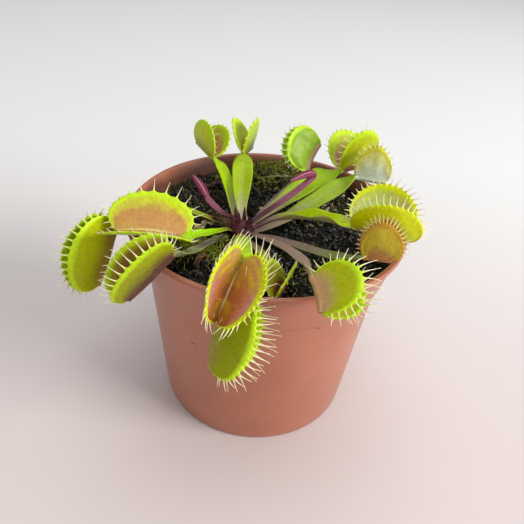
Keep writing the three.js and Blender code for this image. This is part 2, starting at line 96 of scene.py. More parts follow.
def times(tree, first, second):
    return calc(tree, "MULTIPLY", first, second)


# Vector sum, difference, product or quotient.
def vectorCalc(tree, operation, first, second):
    return addNode(tree, "ShaderNodeVectorMath", {0: first, 1: second}, operation=operation).outputs[0]


def combine(tree, x, y, z):
    return addNode(tree, "ShaderNodeCombineXYZ", {0: x, 1: y, 2: z}).outputs[0]


# Start below low, end above high, and an eased cubic between them.
def smoothMask(tree, value, low, high, start=0.0, end=1.0):
    values = {"Value": value, "From Min": low, "From Max": high, "To Min": start, "To Max": end}
    return addNode(tree, "ShaderNodeMapRange", values, interpolation_type="SMOOTHSTEP").outputs[0]


def noise(tree, vector, scale, detail=3.0):
    values = {"Vector": vector, "Scale": scale, "Detail": detail, "Roughness": 0.55}
    return addNode(tree, "ShaderNodeTexNoise", values).outputs["Fac"]


def attribute(tree, name):
    node = addNode(tree, "ShaderNodeAttribute", attribute_type="GEOMETRY", attribute_name=name)
    return node.outputs["Fac"]


def place(tree):
    return addNode(tree, "ShaderNodeTexCoord").outputs["Object"]


# A shader node group; inputs and outputs are (name, kind, value) with kind Color or Float.
def newGroup(name, inputs, outputs):
    group = bpy.data.node_groups.new(name, "ShaderNodeTree")
    for way, sockets in (("INPUT", inputs), ("OUTPUT", outputs)):
        for label, kind, value in sockets:
            socket = group.interface.new_socket(label, in_out=way, socket_type="NodeSocket" + kind)
            if value is not None:
                socket.default_value = value
    return group, group.nodes.new("NodeGroupInput"), group.nodes.new("NodeGroupOutput")


# A new material with constants on its shader's own sockets, whose spaces are written as underscores.
def newMaterial(name, **constants):
    material = bpy.data.materials.new(name)
    material.use_nodes = True
    tree = material.node_tree
    shader = tree.nodes["Principled BSDF"]
    for socket, value in constants.items():
        shader.inputs[socket.replace("_", " ")].default_value = value
    return material, tree, shader


def bumpInto(tree, shader, height, distance, strength):
    bump = addNode(tree, "ShaderNodeBump", {"Height": height, "Distance": distance, "Strength": strength})
    tree.links.new(bump.outputs["Normal"], shader.inputs["Normal"])


# small helpers for shapes

def unit(v):
    return v / np.linalg.norm(v, axis=-1, keepdims=True)


# 0 below low, 1 above high, and an eased cubic between them.
def ease(x, low, high):
    t = np.clip((x - low) / (high - low), 0, 1)
    return t * t * (3 - 2 * t)


# Unit vector from its angle about Z and its angle above the floor, in degrees.
def direction(azimuth, elevation):
    a, e = np.radians(azimuth), np.radians(elevation)
    return np.array([np.cos(a) * np.cos(e), np.sin(a) * np.cos(e), np.sin(e)])


# Angles of the corners of a ring, evenly round it.
def roundAngles(count):
    return np.arange(count) / count * 2 * np.pi


# Smooth random height from -1 to 1: random values on a square lattice, eased between its corners.
def ridges(x, y, cell, seed):
    side = 64  # lattice points before the values repeat
    table = np.random.default_rng(seed).uniform(-1, 1, (side, side))
    u, v = np.asarray(x) / cell + 5 * side, np.asarray(y) / cell + 5 * side
    i, j = np.floor(u).astype(int), np.floor(v).astype(int)
    s, t = ease(u - i, 0, 1), ease(v - j, 0, 1)

    def corner(a, b):
        return table[(i + a) % side, (j + b) % side]

    low = corner(0, 0) * (1 - s) + corner(1, 0) * s
    high = corner(0, 1) * (1 - s) + corner(1, 1) * s
    return low * (1 - t) + high * t


# Triangles of a tube of r rings with c corners each, with a fan to one more point over each end.
def tubeFaces(r, c):
    i, j = (x.ravel() for x in np.meshgrid(np.arange(r - 1), np.arange(c), indexing="ij"))
    a, b = i * c + j, i * c + (j + 1) % c
    j = np.arange(c)
    k = (j + 1) % c
    last = (r - 1) * c
    foot, head = np.full(c, r * c), np.full(c, r * c + 1)
    return np.concatenate([
        np.stack([a, b, b + c], 1), np.stack([a, b + c, a + c], 1),
        np.stack([k, j, foot], 1), np.stack([last + j, last + k, head], 1),
    ])


# Rings of points about paths: a corner lies at the angle round on an ellipse whose half widths stand
# along two directions of each station. All come as arrays over tubes, stations and corners.
def ellipseRings(path, wide, across, thick, normal, around):
    ring = path[:, :, None] + wide[..., None, None] * np.cos(around)[:, None] * across
    return ring + thick[..., None, None] * np.sin(around)[:, None] * normal


# Closed tubes from rings[tube, station, corner, xyz], with a fan over each end, turned to face out.
# Each mark is a value for every ring point, or anything that spreads over them.
def tubes(rings, **marks):
    n, r, c = rings.shape[:3]
    points = np.concatenate([rings.reshape(n, r * c, 3), rings[:, [0, -1]].mean(axis=2)], axis=1)
    one = tubeFaces(r, c)
    middle = points.mean(axis=1, keepdims=True)
    p, q, s = (points[:, one[:, k]] - middle for k in range(3))
    outward = np.einsum("nij,nij->n", p, np.cross(q, s)) > 0
    faces = one[None] + (np.arange(n) * (r * c + 2))[:, None, None]
    faces = np.where(outward[:, None, None], faces, faces[..., ::-1]).reshape(-1, 3)
    spread = {}
    for name, value in marks.items():
        full = np.broadcast_to(value, (n, r, c))
        ends = full[:, [0, -1]].mean(axis=2)
        spread[name] = np.concatenate([full.reshape(n, r * c), ends], axis=1).ravel()
    return dict(points=points.reshape(-1, 3), faces=faces, marks=spread)


# Points and faces of several closed shells, put one after the other.
def joined(shells):
    starts = np.cumsum([0] + [len(s["points"]) for s in shells])
    points = np.concatenate([s["points"] for s in shells])
    return points, np.concatenate([s["faces"] + k for s, k in zip(shells, starts)])


def addObject(name, data):
    piece = bpy.data.objects.new(name, data)
    bpy.context.scene.collection.objects.link(piece)
    return piece


# One smooth mesh out of several closed shells, which rides on the part and may stand for CAD nodes.
def putMesh(name, shells, material, slot, *nodes):
    points, faces = joined(shells)
    mesh = bpy.data.meshes.new(name)
    mesh.vertices.add(len(points))
    mesh.vertices.foreach_set("co", (points * mm).ravel())
    mesh.loops.add(faces.size)
    mesh.loops.foreach_set("vertex_index", faces.ravel().astype(np.int32))
    mesh.polygons.add(len(faces))
    mesh.polygons.foreach_set("loop_start", np.arange(len(faces), dtype=np.int32) * 3)
    mesh.update(calc_edges=True)
    mesh.polygons.foreach_set("use_smooth", np.ones(len(faces), bool))
    for mark in shells[0]["marks"]:
        values = np.concatenate([s["marks"][mark] for s in shells]).astype(np.float32)
        mesh.attributes.new(mark, "FLOAT", "POINT").data.foreach_set("value", values)
    mesh.materials.append(material)
    piece = addObject(name, mesh)
    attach(piece, "root")
    if nodes:
        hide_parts(*nodes)
    return piece


# tissue of leaves, traps and teeth

# colours and reaches of a leaf where its own dictionary doesn't give others
commonColours = dict(
    base="#5a2e34", root="#93806f", blade="#a6cc0c", under="#a29a5a",  # stalk: foot, low part, wings, back
    keel="#a98a5c", outer="#a6bf10",                                   # back of a lobe, midrib to margin
    rib="#cdbf6a", inner="#c08a3c", flush="#a06a58", edge="#b4d80e",   # its inner face
    rim="#bcdc1c", tooth="#efe4bc",
    keelReach=0.45, innerReach=0.7,    # share of the lobe that keel and inner colour cover
    greenFrom=0.3,                     # where along the stalk the blade colour starts
    streak=0.25, blush=0.3, fade=0.0,  # strength of edge streaks, of flush, and of pale foot and dark tip
    speckle=0.0, blotch=0.5,           # strength of dark dots, and how far the colours wander
)
# a pair is where a mask starts and where it is full
tissue = dict(
    patches=160, grain=900, speckles=1500, glands=1900,  # noises, in cells to the metre
    trapVeins=(34, 2.2), bladeVeins=(3, 7),              # stretch of the veins along the run and the share
    smears=(4.6, -2.4, 1.6),                             # slant of the streaks, and stretch over the share
    onTrap=(0.3, 0.7), keelFrom=0.15, innerBand=0.32, endPull=0.35, fade=(0.0, 0.55),
    streak=(0.46, 0.66), blush=(0.36, 0.72), blushFrom=(0.35, 0.8), scorch=(0.6, 0.92),
    rib=(0.025, 0.075), speckle=(0.6, 0.68), lowDots=(0.15, 0.75), rim=(0.83, 0.93),
    greenBand=0.3, bladeRib=(0.0, 0.14), foot=(0.04, 0.24), tooth=(1.06, 1.42),
    bump=0.12, bumpStrength=0.6,
)


# Pattern of the veins: noise stretched from midrib to margin on a trap and along the stalk on a blade.
def tissueVeins(tree, marks, onTrap):
    share, run, inside = marks["share"], marks["run"], marks["inside"]
    (trapRun, trapShare), (bladeRun, bladeShare) = tissue["trapVeins"], tissue["bladeVeins"]
    fan = combine(tree, times(tree, run, trapRun), times(tree, share, trapShare), inside)
    long = combine(tree, times(tree, share, bladeShare), times(tree, run, bladeRun), inside)
    trapVein, bladeVein = noise(tree, fan, 1.6, 4), noise(tree, long, 1.8, 3)
    return plus(tree, times(tree, trapVein, onTrap), times(tree, bladeVein, minus(tree, 1.0, onTrap)))


# Back of a lobe: the keel colour from the midrib as far as its reach, then the outer one, with dots.
def lobeBack(tree, take, loose, share, dots):
    low = times(tree, take["keelReach"], tissue["keelFrom"])
    keel = smoothMask(tree, loose, low, take["keelReach"], 1.0, 0.0)
    outer = mixColour(tree, keel, take["outer"], take["keel"])
    lowDots = times(tree, dots, smoothMask(tree, share, *tissue["lowDots"], 1.0, 0.1))
    return mixColour(tree, lowDots, outer, take["base"])


# Inner face of a lobe: the inner colour, which gives way to the edge colour near the margin, at both
# ends and in slanting streaks, with flush between the streaks, a dark tip and a pale rib.
def lobeFace(tree, take, loose, looseRun, marks, vein):
    share, run, inside = marks["share"], marks["run"], marks["inside"]
    fromMiddle = calc(tree, "ABSOLUTE", minus(tree, times(tree, run, 2.0), 1.0))
    ends = times(tree, calc(tree, "POWER", fromMiddle, 3.0), tissue["endPull"])
    low = minus(tree, take["innerReach"], tissue["innerBand"])
    glow = smoothMask(tree, plus(tree, loose, ends), low, take["innerReach"], 1.0, 0.0)
    face = mixColour(tree, glow, take["edge"], take["inner"])
    fade = smoothMask(tree, looseRun, *tissue["fade"], 1.0, 0.0)
    face = mixColour(tree, times(tree, fade, take["fade"]), face, take["edge"])

    slantRun, slantShare, across = tissue["smears"]
    slant = plus(tree, times(tree, run, slantRun), times(tree, share, slantShare))
    smears = noise(tree, combine(tree, slant, times(tree, share, across), inside), 1.3, 1)
    smears = plus(tree, times(tree, smears, 0.86), times(tree, vein, 0.14))
    streaks = times(tree, smoothMask(tree, smears, *tissue["streak"]), take["streak"])
    face = mixColour(tree, streaks, face, take["edge"])
    blush = times(tree, smoothMask(tree, smears, *tissue["blush"], 1.0, 0.0), take["blush"])
    blush = times(tree, blush, smoothMask(tree, share, *tissue["blushFrom"], 0.2, 1.0))
    face = mixColour(tree, blush, face, take["flush"])
    scorch = times(tree, smoothMask(tree, looseRun, *tissue["scorch"]), take["fade"])
    face = mixColour(tree, scorch, face, take["base"])
    return mixColour(tree, smoothMask(tree, share, *tissue["rib"], 1.0, 0.0), face, take["rib"])


# Stalk: the base colour at its foot, then root, then blade colour, duller below, with dots and a rib.
def bladeColour(tree, take, marks, broad, dots):
    share, run = marks["share"], marks["run"]
    along = plus(tree, run, times(tree, minus(tree, broad, 0.5), 0.35))
    along = plus(tree, along, times(tree, share, 0.12))
    full = plus(tree, take["greenFrom"], tissue["greenBand"])
    green = smoothMask(tree, along, take["greenFrom"], full)
    upper = mixColour(tree, green, take["root"], take["blade"])
    under = mixColour(tree, times(tree, green, 0.45), take["under"], take["blade"])
    blade = mixColour(tree, dots, mixColour(tree, marks["inside"], under, upper), take["base"])
    blade = mixColour(tree, smoothMask(tree, share, *tissue["bladeRib"], 0.22, 0.0), blade, take["root"])
    return mixColour(tree, smoothMask(tree, along, *tissue["foot"], 0.9, 0.0), blade, take["base"])


# Colour, roughness and relief of the living tissue, from the marks that every leaf mesh carries.
# share runs from rib to margin, run along the organ, inside is 1 on the trap's inner or the blade's
# upper face, and organ is 0 on the stalk, 1 on the trap and up to 2 at the tip of a tooth.
def makeTissueGroup():
    inputs = [(key, "Color", linear(value)) if isinstance(value, str) else (key, "Float", value)
              for key, value in commonColours.items()]
    outputs = [("Colour", "Color", None), ("Roughness", "Float", None), ("Height", "Float", None)]
    tree, given, out = newGroup("tissue", inputs, outputs)
    take = given.outputs
    marks = {name: attribute(tree, name) for name in ("share", "run", "inside", "organ")}
    share, inside = marks["share"], marks["inside"]
    where = place(tree)
    broad, fine = noise(tree, where, tissue["patches"], 4), noise(tree, where, tissue["grain"], 3)
    onTrap = smoothMask(tree, marks["organ"], *tissue["onTrap"])
    vein = tissueVeins(tree, marks, onTrap)
    speckles = noise(tree, where, tissue["speckles"], 1)
    dots = times(tree, smoothMask(tree, speckles, *tissue["speckle"]), take["speckle"])
    wander = times(tree, minus(tree, broad, 0.5), take["blotch"])
    loose, looseRun = plus(tree, share, wander), plus(tree, marks["run"], wander)

    face = lobeFace(tree, take, loose, looseRun, marks, vein)
    lobe = mixColour(tree, inside, lobeBack(tree, take, loose, share, dots), face)
    lobe = mixColour(tree, smoothMask(tree, share, *tissue["rim"]), lobe, take["rim"])
    base = mixColour(tree, onTrap, bladeColour(tree, take, marks, broad, dots), lobe)
    shade = times(tree, smoothMask(tree, vein, 0.3, 0.7, 0.9, 1.07),
                  smoothMask(tree, fine, 0.25, 0.75, 0.86, 1.1))
    tint = addNode(tree, "ShaderNodeCombineColor", {0: shade, 1: shade, 2: shade}).outputs[0]
    base = mixColour(tree, 0.8, base, tint, "MULTIPLY")
    colour = mixColour(tree, smoothMask(tree, marks["organ"], *tissue["tooth"]), base, take["tooth"])

    cells = addNode(tree, "ShaderNodeTexVoronoi", {"Vector": where, "Scale": tissue["glands"]})
    glands = times(tree, smoothMask(tree, cells.outputs["Distance"], 0.1, 0.4, 1.0, 0.0),
                   times(tree, inside, onTrap))
    height = plus(tree, times(tree, vein, 0.45), times(tree, glands, 0.35))
    height = plus(tree, height, times(tree, fine, 0.3))
    rough = plus(tree, smoothMask(tree, broad, 0.3, 0.7, 0.3, 0.44), times(tree, glands, 0.12))
    tree.links.new(colour, out.inputs["Colour"])
    tree.links.new(rough, out.inputs["Roughness"])
    tree.links.new(height, out.inputs["Height"])
    return tree


tissueGroup = makeTissueGroup()


# Living tissue in this leaf's own colours, and in the common ones where it gives none.
def tissueMaterial(name, colours):
    material, tree, shader = newMaterial(
        name, Subsurface_Weight=0.16, Subsurface_Radius=(1.0, 0.95, 0.3), Subsurface_Scale=0.0009,
        Specular_IOR_Level=0.2)
    node = tree.nodes.new("ShaderNodeGroup")
    node.node_tree = tissueGroup
    for key, value in {**commonColours, **colours}.items():
        node.inputs[key].default_value = linear(value) if isinstance(value, str) else value
    tree.links.new(node.outputs["Colour"], shader.inputs["Base Color"])
    tree.links.new(node.outputs["Roughness"], shader.inputs["Roughness"])
    bumpInto(tree, shader, node.outputs["Height"], tissue["bump"] * mm, tissue["bumpStrength"])
    return material


# traps

trapShape = dict(
    stations=6,        # rings of points to each tooth of the margin
    seat=0.4,          # half the length of the midrib, as a share of the trap's
    marginLow=0.06,    # height of the margin at its two ends, as a share of the lobe's
    bladeHalf=0.26,    # half the thickness of a lobe
    rimHalf=0.36,      # half the thickness of its margin
    rimThin=0.1,       # how much thinner its very edge is
    rimOut=0.2,        # how far the edge is rounded outwards
    keelRise=0.5,      # how far the keel stands out behind the midrib
    keelWidth=0.9,
    knob=0.016,        # swelling of the margin at each tooth, as a share of the lobe
)
teeth = dict(
    corners=6, root=0.74, half=0.17, tip=0.06,  # half widths of the flare it grows from, its middle and tip
    flare=0.16,        # extra half thickness of the flare
    sink=0.35,         # how deep it starts inside the margin
    steps=(0, 0.05, 0.12, 0.22, 0.36, 0.52, 0.68, 0.84, 1.0),
    lengths=(0.86, 1.1), biteSpread=5, hookSpread=7, swaySpread=6,
)
hairs = dict(
    corners=5, length=1.5, half=0.07, tapers=(2.2, 1.5, 1, 0.8, 0.3), steps=(-0.15, 0, 0.3, 0.7, 1),
    places=((0.36, 0.46), (0.64, 0.46), (0.5, 0.66)),  # along the lobe, and share of the way to its margin
)
# shares of the way from midrib to margin where a lobe has its points
lobeShares = np.array([
    0, 0.03, 0.07, 0.12, 0.19, 0.28, 0.38, 0.49, 0.6, 0.7, 0.79, 0.85, 0.895, 0.93, 0.96, 0.985, 1,
])


# The trap's three directions: along its midrib, out of its mouth, and to its left.
def trapAxes(trap):
    along = direction(*trap["aim"])
    face = direction(*trap["face"])
    mouth = unit(face - face @ along * along)
    return along, mouth, np.cross(along, mouth)


# A point of a lobe and its inward direction.
# x runs along the midrib from its middle and y out over the lobe. The midrib is an arc of the arch
# angle; the lobe is an arc too, of the cup angle, that starts at the opening angle from the mouth;
# and the clam share draws its two ends inwards with the square of x.
def lobePoint(trap, side, x, y):
    along, mouth, left = trapAxes(trap)
    length, height = trap["size"]
    seat = trapShape["seat"] * length
    bend = np.radians(trap["arch"] or 0.01) / (2 * seat)
    ribX = np.clip(x, -seat, seat)
    beyond, turn = x - ribX, bend * ribX
    runX = np.sin(turn) / bend + beyond * np.cos(turn) + np.sin(bend * seat) / bend
    runZ = (np.cos(turn) - np.cos(bend * seat)) / bend - beyond * np.sin(turn)
    up = np.cos(turn)[..., None] * mouth + np.sin(turn)[..., None] * along
    lean = np.radians(np.where(side > 0, *trap["open"]) + trap["cup"] / 2)
    curl = np.radians(trap["cup"]) / height
    slant = lean - curl * y
    out = (np.cos(slant) - np.cos(lean)) / curl
    rise = (np.sin(lean) - np.sin(slant)) / curl
    inward = (-side * np.cos(slant))[..., None] * left + np.sin(slant)[..., None] * up
    clasp = trap["clam"] * length * (2 * x / length) ** 2 * np.clip(y / height, 0, 1)
    point = np.array(trap["at"]) + runX[..., None] * along + runZ[..., None] * mouth
    point = point + (side * out)[..., None] * left + rise[..., None] * up + clasp[..., None] * inward
    return point, inward


# Point at t, from 0 at the stalk to 1 at the tip, and share, from 0 on the midrib to 1 on the margin.
# The margin is an arc of an ellipse that starts and ends low, and each t has a foot on the midrib.
def bladePoint(trap, side, t, share):
    length, height = trap["size"]
    centre = 0.4 * height
    start = np.arcsin((centre - trapShape["marginLow"] * height) / (height - centre))
    angle = -start + t * (np.pi + 2 * start)
    foot = -trap.get("foot", 0.39) * length * np.cos(np.pi * t)
    edgeX, edgeY = -0.5 * length * np.cos(angle), centre + (height - centre) * np.sin(angle)
    return lobePoint(trap, side, foot + (edgeX - foot) * share, edgeY * share)


# Triangles of the skin: a tube of r rings with 2n + 2 corners, and a strip that closes each end
# between the n corners of the inner face and those of the outer one.
def skinFaces(r, n):
    m = 2 * n + 2
    i, j = (v.ravel() for v in np.meshgrid(np.arange(r - 1), np.arange(m), indexing="ij"))
    a, b = i * m + j, i * m + (j + 1) % m
    faces = [np.stack([a, b, b + m], 1), np.stack([a, b + m, a + m], 1)]
    j = np.arange(n - 1)
    for row, turned in ((0, True), (r - 1, False)):
        first = row * m
        p, q, u, v = first + j, first + j + 1, first + 2 * n - j, first + 2 * n - j - 1
        tips = first + np.array([[n - 1, n, n + 1], [0, 2 * n, 2 * n + 1]])
        strip = np.concatenate([np.stack([p, q, v], 1), np.stack([p, v, u], 1), tips])
        faces.append(strip[:, ::-1] if turned else strip)
    return np.concatenate(faces)


# Both lobes as one closed skin: inner face from left margin to right, round the rim, outer face back.
# Its thickness is that of the blade, grows to the rim's and has the keel as a bell curve behind it;
# in front it thins to nothing in the crease, so that the two lobes don't run into each other.
def makeLobes(trap, seed):
    s = trapShape
    count, height = trap["margin"], trap["size"][1]
    t = np.linspace(0, 1, count * s["stations"] + 1)
    across = np.concatenate([-lobeShares[:0:-1], lobeShares])
    run, column = np.meshgrid(t, across, indexing="ij")
    side, share = np.where(column < 0, 1.0, -1.0), np.abs(column)
    knob = s["knob"] * np.cos(2 * np.pi * (run * count - 0.5)) * ease(share, 0.9, 1)
    middle, inward = bladePoint(trap, side, run, share * (1 + knob))
    wave = trap.get("wave", 0.14) * ridges(run * 9 + seed, column * 4, 1.0, seed) * ease(share, 0.1, 0.5)
    middle = middle + wave[..., None] * inward
    normal = unit(np.cross(np.gradient(middle, axis=0), np.gradient(middle, axis=1)))
    _, mouth, _ = trapAxes(trap)
    normal *= np.sign(normal[len(t) // 2, len(across) // 2] @ mouth)
    half = s["bladeHalf"] + (s["rimHalf"] - s["bladeHalf"]) * ease(share, 0.86, 0.94)
    half = half - s["rimThin"] * ease(share, 0.955, 1)
    crease = np.tan(np.radians(min(80, min(trap["open"]) + trap["cup"] / 2)))
    y = share * height
    inner = half * (1 - np.exp(-y * crease / half))
    outer = half + s["keelRise"] * np.exp(-(y / s["keelWidth"]) ** 2)
    rim = unit(middle[:, [0, -1]] - middle[:, [1, -2]]) * s["rimOut"] + middle[:, [0, -1]]
    top = middle + normal * inner[..., None]
    low = middle - normal * outer[..., None]
    points = np.concatenate([top, rim[:, 1:], low[:, ::-1], rim[:, :1]], axis=1).reshape(-1, 3)
    r, n = len(t), len(across)
    faces = skinFaces(r, n)
    p, q, w = (points[faces[:, k]] - points.mean(axis=0) for k in range(3))
    if np.einsum("ij,ij->", p, np.cross(q, w)) < 0:
        faces = faces[:, ::-1]
    one, full = np.ones((r, 1)), np.ones((r, n))
    marks = dict(
        share=np.concatenate([share, one, share[:, ::-1], one], axis=1).ravel(),
        run=np.repeat(t, 2 * n + 2),
        inside=np.concatenate([full, one * 0.5, full * 0, one * 0.5], axis=1).ravel(),
        organ=np.ones(len(points)),
    )
    return dict(points=points, faces=faces, marks=marks)


# Teeth of one margin: tapering hooks that leave it along the lobe and turn inwards towards the tip.
# The path of each is the running sum of short steps whose angle grows from bite to bite plus hook.
# The longest stand in the middle, and ends gives the share of their length at the stalk and the tip.
def makeTeeth(trap, side, rng):
    g = teeth
    count = trap["margin"]
    t = (np.arange(count) + 0.5) / count
    sides = np.full(count, float(side))
    root, _ = bladePoint(trap, sides, t, np.full(count, 1.0))
    ahead = unit(bladePoint(trap, sides, t + 0.004, np.full(count, 1.0))[0] - root)
    out = root - bladePoint(trap, sides, t, np.full(count, 0.96))[0]
    out = unit(out - (out * ahead).sum(-1, keepdims=True) * ahead)
    inside = np.cross(ahead, out)
    inward = lobePoint(trap, sides, np.zeros(count), np.full(count, trap["size"][1]))[1]
    inside *= np.sign((inside * inward).sum(-1, keepdims=True))
    longest = trap["tooth"][0 if side > 0 else 1]
    first, last = trap.get("ends", (0.58, 0.58))
    ends = first + (last - first) * t
    length = longest * (ends + (1 - ends) * np.sin(np.pi * t)) * rng.uniform(*g["lengths"], count)
    steps = np.array(g["steps"])
    bite = np.radians(trap["bite"] + rng.normal(0, g["biteSpread"], count))
    hook = np.radians(trap["hook"] * 1.5 + rng.normal(0, g["hookSpread"], count))
    sway = np.radians(rng.normal(0, g["swaySpread"], count))
    bend = ease(steps, 0.05, 1)[None, :]
    angle = bite[:, None] + hook[:, None] * bend
    lean = sway[:, None] * bend
    step = np.diff(steps, prepend=0)[None, :] * length[:, None]
    outRun = np.cumsum(step * np.cos(angle) * np.cos(lean), axis=1)
    inRun = np.cumsum(step * np.sin(angle), axis=1)
    sideRun = np.cumsum(step * np.cos(angle) * np.sin(lean), axis=1)
    path = root[:, None] + (outRun - g["sink"])[..., None] * out[:, None]
    path = path + inRun[..., None] * inside[:, None] + sideRun[..., None] * ahead[:, None]
    taper = g["half"] + (g["tip"] - g["half"]) * steps
    scale = (0.62 + 0.38 * length / longest)[:, None]
    wide = taper + (g["root"] - g["half"]) * np.exp(-(steps / 0.16) ** 1.3)
    thick = taper + g["flare"] * np.exp(-(steps / 0.2) ** 1.4)
    normal = -np.sin(angle)[..., None] * out[:, None] + np.cos(angle)[..., None] * inside[:, None]
    ring = ellipseRings(path, scale * wide, ahead[:, None, None], scale * thick, normal[:, :, None],
                        roundAngles(g["corners"]))
    return tubes(ring, share=1.0, run=t[:, None, None], inside=0.5, organ=(1 + steps)[None, :, None])


# Three trigger hairs on the inner face, set in a triangle.
def makeHairs(trap, side):
    g = hairs
    t, share = np.array(g["places"]).T
    foot, inward = bladePoint(trap, np.full(len(t), float(side)), t, share)
    along, _, _ = trapAxes(trap)
    first = unit(np.cross(inward, along))
    second = np.cross(inward, first)
    centre = foot[:, None] + (np.array(g["steps"]) * g["length"] + 0.2)[None, :, None] * inward[:, None]
    radius = g["half"] * np.array(g["tapers"])[None]
    ring = ellipseRings(centre, radius, first[:, None, None], radius, second[:, None, None],
                        roundAngles(g["corners"]))
    return tubes(ring, share=0.5, run=0.5, inside=1.0, organ=1.2)


# stalks

stalkShape = dict(
    stations=64, corners=13, ribHalf=0.85, edgeHalf=0.16, middleHalf=0.42, neckHalf=0.78,
    peak=0.72,       # where along the path its wings are widest
    foot=7, bury=8,  # stations below the path, towards the crown, and past it, inside the keel
)
crown = dict(place=(-8, -3), root="#241210", tip="#52262c")


# Cubic through its two end points, pulled towards the two between them.
def curvePoint(path, s):
    p = np.array(path, float)
    q = 1 - s
    weights = np.stack([q ** 3, 3 * q * q * s, 3 * q * s * s, s ** 3], -1)
    return weights @ p


# Middle line, half width and run of a stalk. The half width grows as an eased step to the peak and
# falls as a rounded quarter to the neck. Below the path the stalk goes on towards the heart of the
# crown and narrows, and past it on along the trap's midrib, inside the keel, and thins out.
def stalkLine(stalk, trap):
    g = stalkShape
    s = np.linspace(0, 1, g["stations"])
    centre = curvePoint(stalk["path"], s)
    peak = g["peak"]
    foot, widest = stalk["width"]
    fall = np.clip((s - peak) / (1 - peak), 0, 1)
    half = np.where(s <= peak, foot + (widest - foot) * ease(s, 0, peak),
                    g["ribHalf"] + (widest - g["ribHalf"]) * np.sqrt(np.clip(1 - fall ** 2.2, 0, 1)))
    inward = np.linspace(1, 0, g["foot"] + 1)[:-1, None]
    heart = np.array([*crown["place"], stalk["path"][0][2] - 2.2]) * 0.8 + centre[0] * 0.2
    centre = np.vstack([centre[0] + (heart - centre[0]) * inward, centre])
    half = np.concatenate([half[0] * (1 - 0.45 * inward[:, 0]), half])
    s = np.concatenate([0.001 - 0.1 * inward[:, 0], s])
    if trap:
        bury = g["bury"]
        ribs = np.linspace(-trapShape["seat"], -0.1, bury + 1)[1:] * trap["size"][0]
        rib, _ = lobePoint(trap, np.ones(bury), ribs, np.zeros(bury))
        centre = np.vstack([centre, rib - trapAxes(trap)[1] * 0.25])
        s = np.concatenate([s, 1 + np.arange(1, bury + 1) / (2 * bury)])
        half = np.concatenate([half, g["ribHalf"] * np.linspace(0.95, 0.3, bury)])
    return centre, half, s


# Winged stalk: a cross-section of two wings on a thicker rib, carried along its line. The wings lift
# with the fold angle and ripple as a sine of the run; towards the trap the section turns to face the
# mouth and rounds off.
def makeStalk(stalk, trap):
    g = stalkShape
    centre, half, s = stalkLine(stalk, trap)
    start = direction(*stalk["up"])
    mouth = trapAxes(trap)[1] if trap else start
    turn = ease(s, 0.75, 1)[:, None]
    ahead = unit(np.gradient(centre, axis=0))
    up = unit(start * (1 - turn) + mouth * turn)
    across = unit(np.cross(ahead, up))
    normal = np.cross(across, ahead)
    fold = np.radians(stalk["fold"]) * (1 - turn[:, 0])
    middle = g["middleHalf"] + (g["neckHalf"] - g["middleHalf"]) * turn[:, 0]
    middle = np.where(s > 1, half, middle)
    u = np.linspace(-1, 1, g["corners"])
    wing = np.abs(u)
    waves = np.sin(s * stalk.get("waves", 21) + 1.3)[:, None]
    ripple = stalk.get("ripple", 0.05) * waves * wing ** 2 * np.sign(u)
    ripple = ripple * (ease(s, 0.1, 0.35) * (1 - ease(s, 0.85, 1)))[:, None] * half[:, None]
    soft = np.sqrt(wing ** 2 + 0.012) - np.sqrt(0.012)  # rounds the fold over the rib
    lift = half[:, None] * np.sin(fold)[:, None] * soft + ripple
    reach = half[:, None] * np.cos(fold)[:, None] * u
    edge = np.minimum(g["edgeHalf"], middle)[:, None]
    thick = edge + (middle[:, None] - edge) * (1 - wing) ** 1.6
    rounded = np.sqrt(np.clip(1 - wing ** 2, 0, 1)) * middle[:, None]
    thick = thick * (1 - turn) + np.maximum(rounded, 0.1) * turn
    upper = lift + thick * np.where(turn > 0.5, 1, 0.7)
    lower = lift - thick
    allReach = np.concatenate([reach, reach[:, ::-1]], axis=1)
    allLift = np.concatenate([upper, lower[:, ::-1]], axis=1)
    ring = centre[:, None] + allReach[..., None] * across[:, None] + allLift[..., None] * normal[:, None]
    inside = np.concatenate([np.ones(len(u)), np.zeros(len(u))])
    trapPart = ease(s, 0.97, 1.06)[:, None]
    share = np.concatenate([wing, wing[::-1]])[None] * (1 - trapPart)
    return tubes(ring[None], share=share[None], run=np.clip(s, 0, 1)[None, :, None],
                 inside=(inside[None] * (1 - trapPart))[None], organ=trapPart[None])


def makeLeaf(name, spec, seed):
    rng = np.random.default_rng(seed)
    trap = spec["trap"]
    shells = [makeStalk(spec["stalk"], trap), makeLobes(trap, seed)]
    shells += [makeTeeth(trap, side, rng) for side in (1, -1)]
    shells += [makeHairs(trap, side) for side in (1, -1)]
    material = tissueMaterial("tissue_" + name, spec["colours"])
    return putMesh(name + "_fine", shells, material, "green_" + name, name)


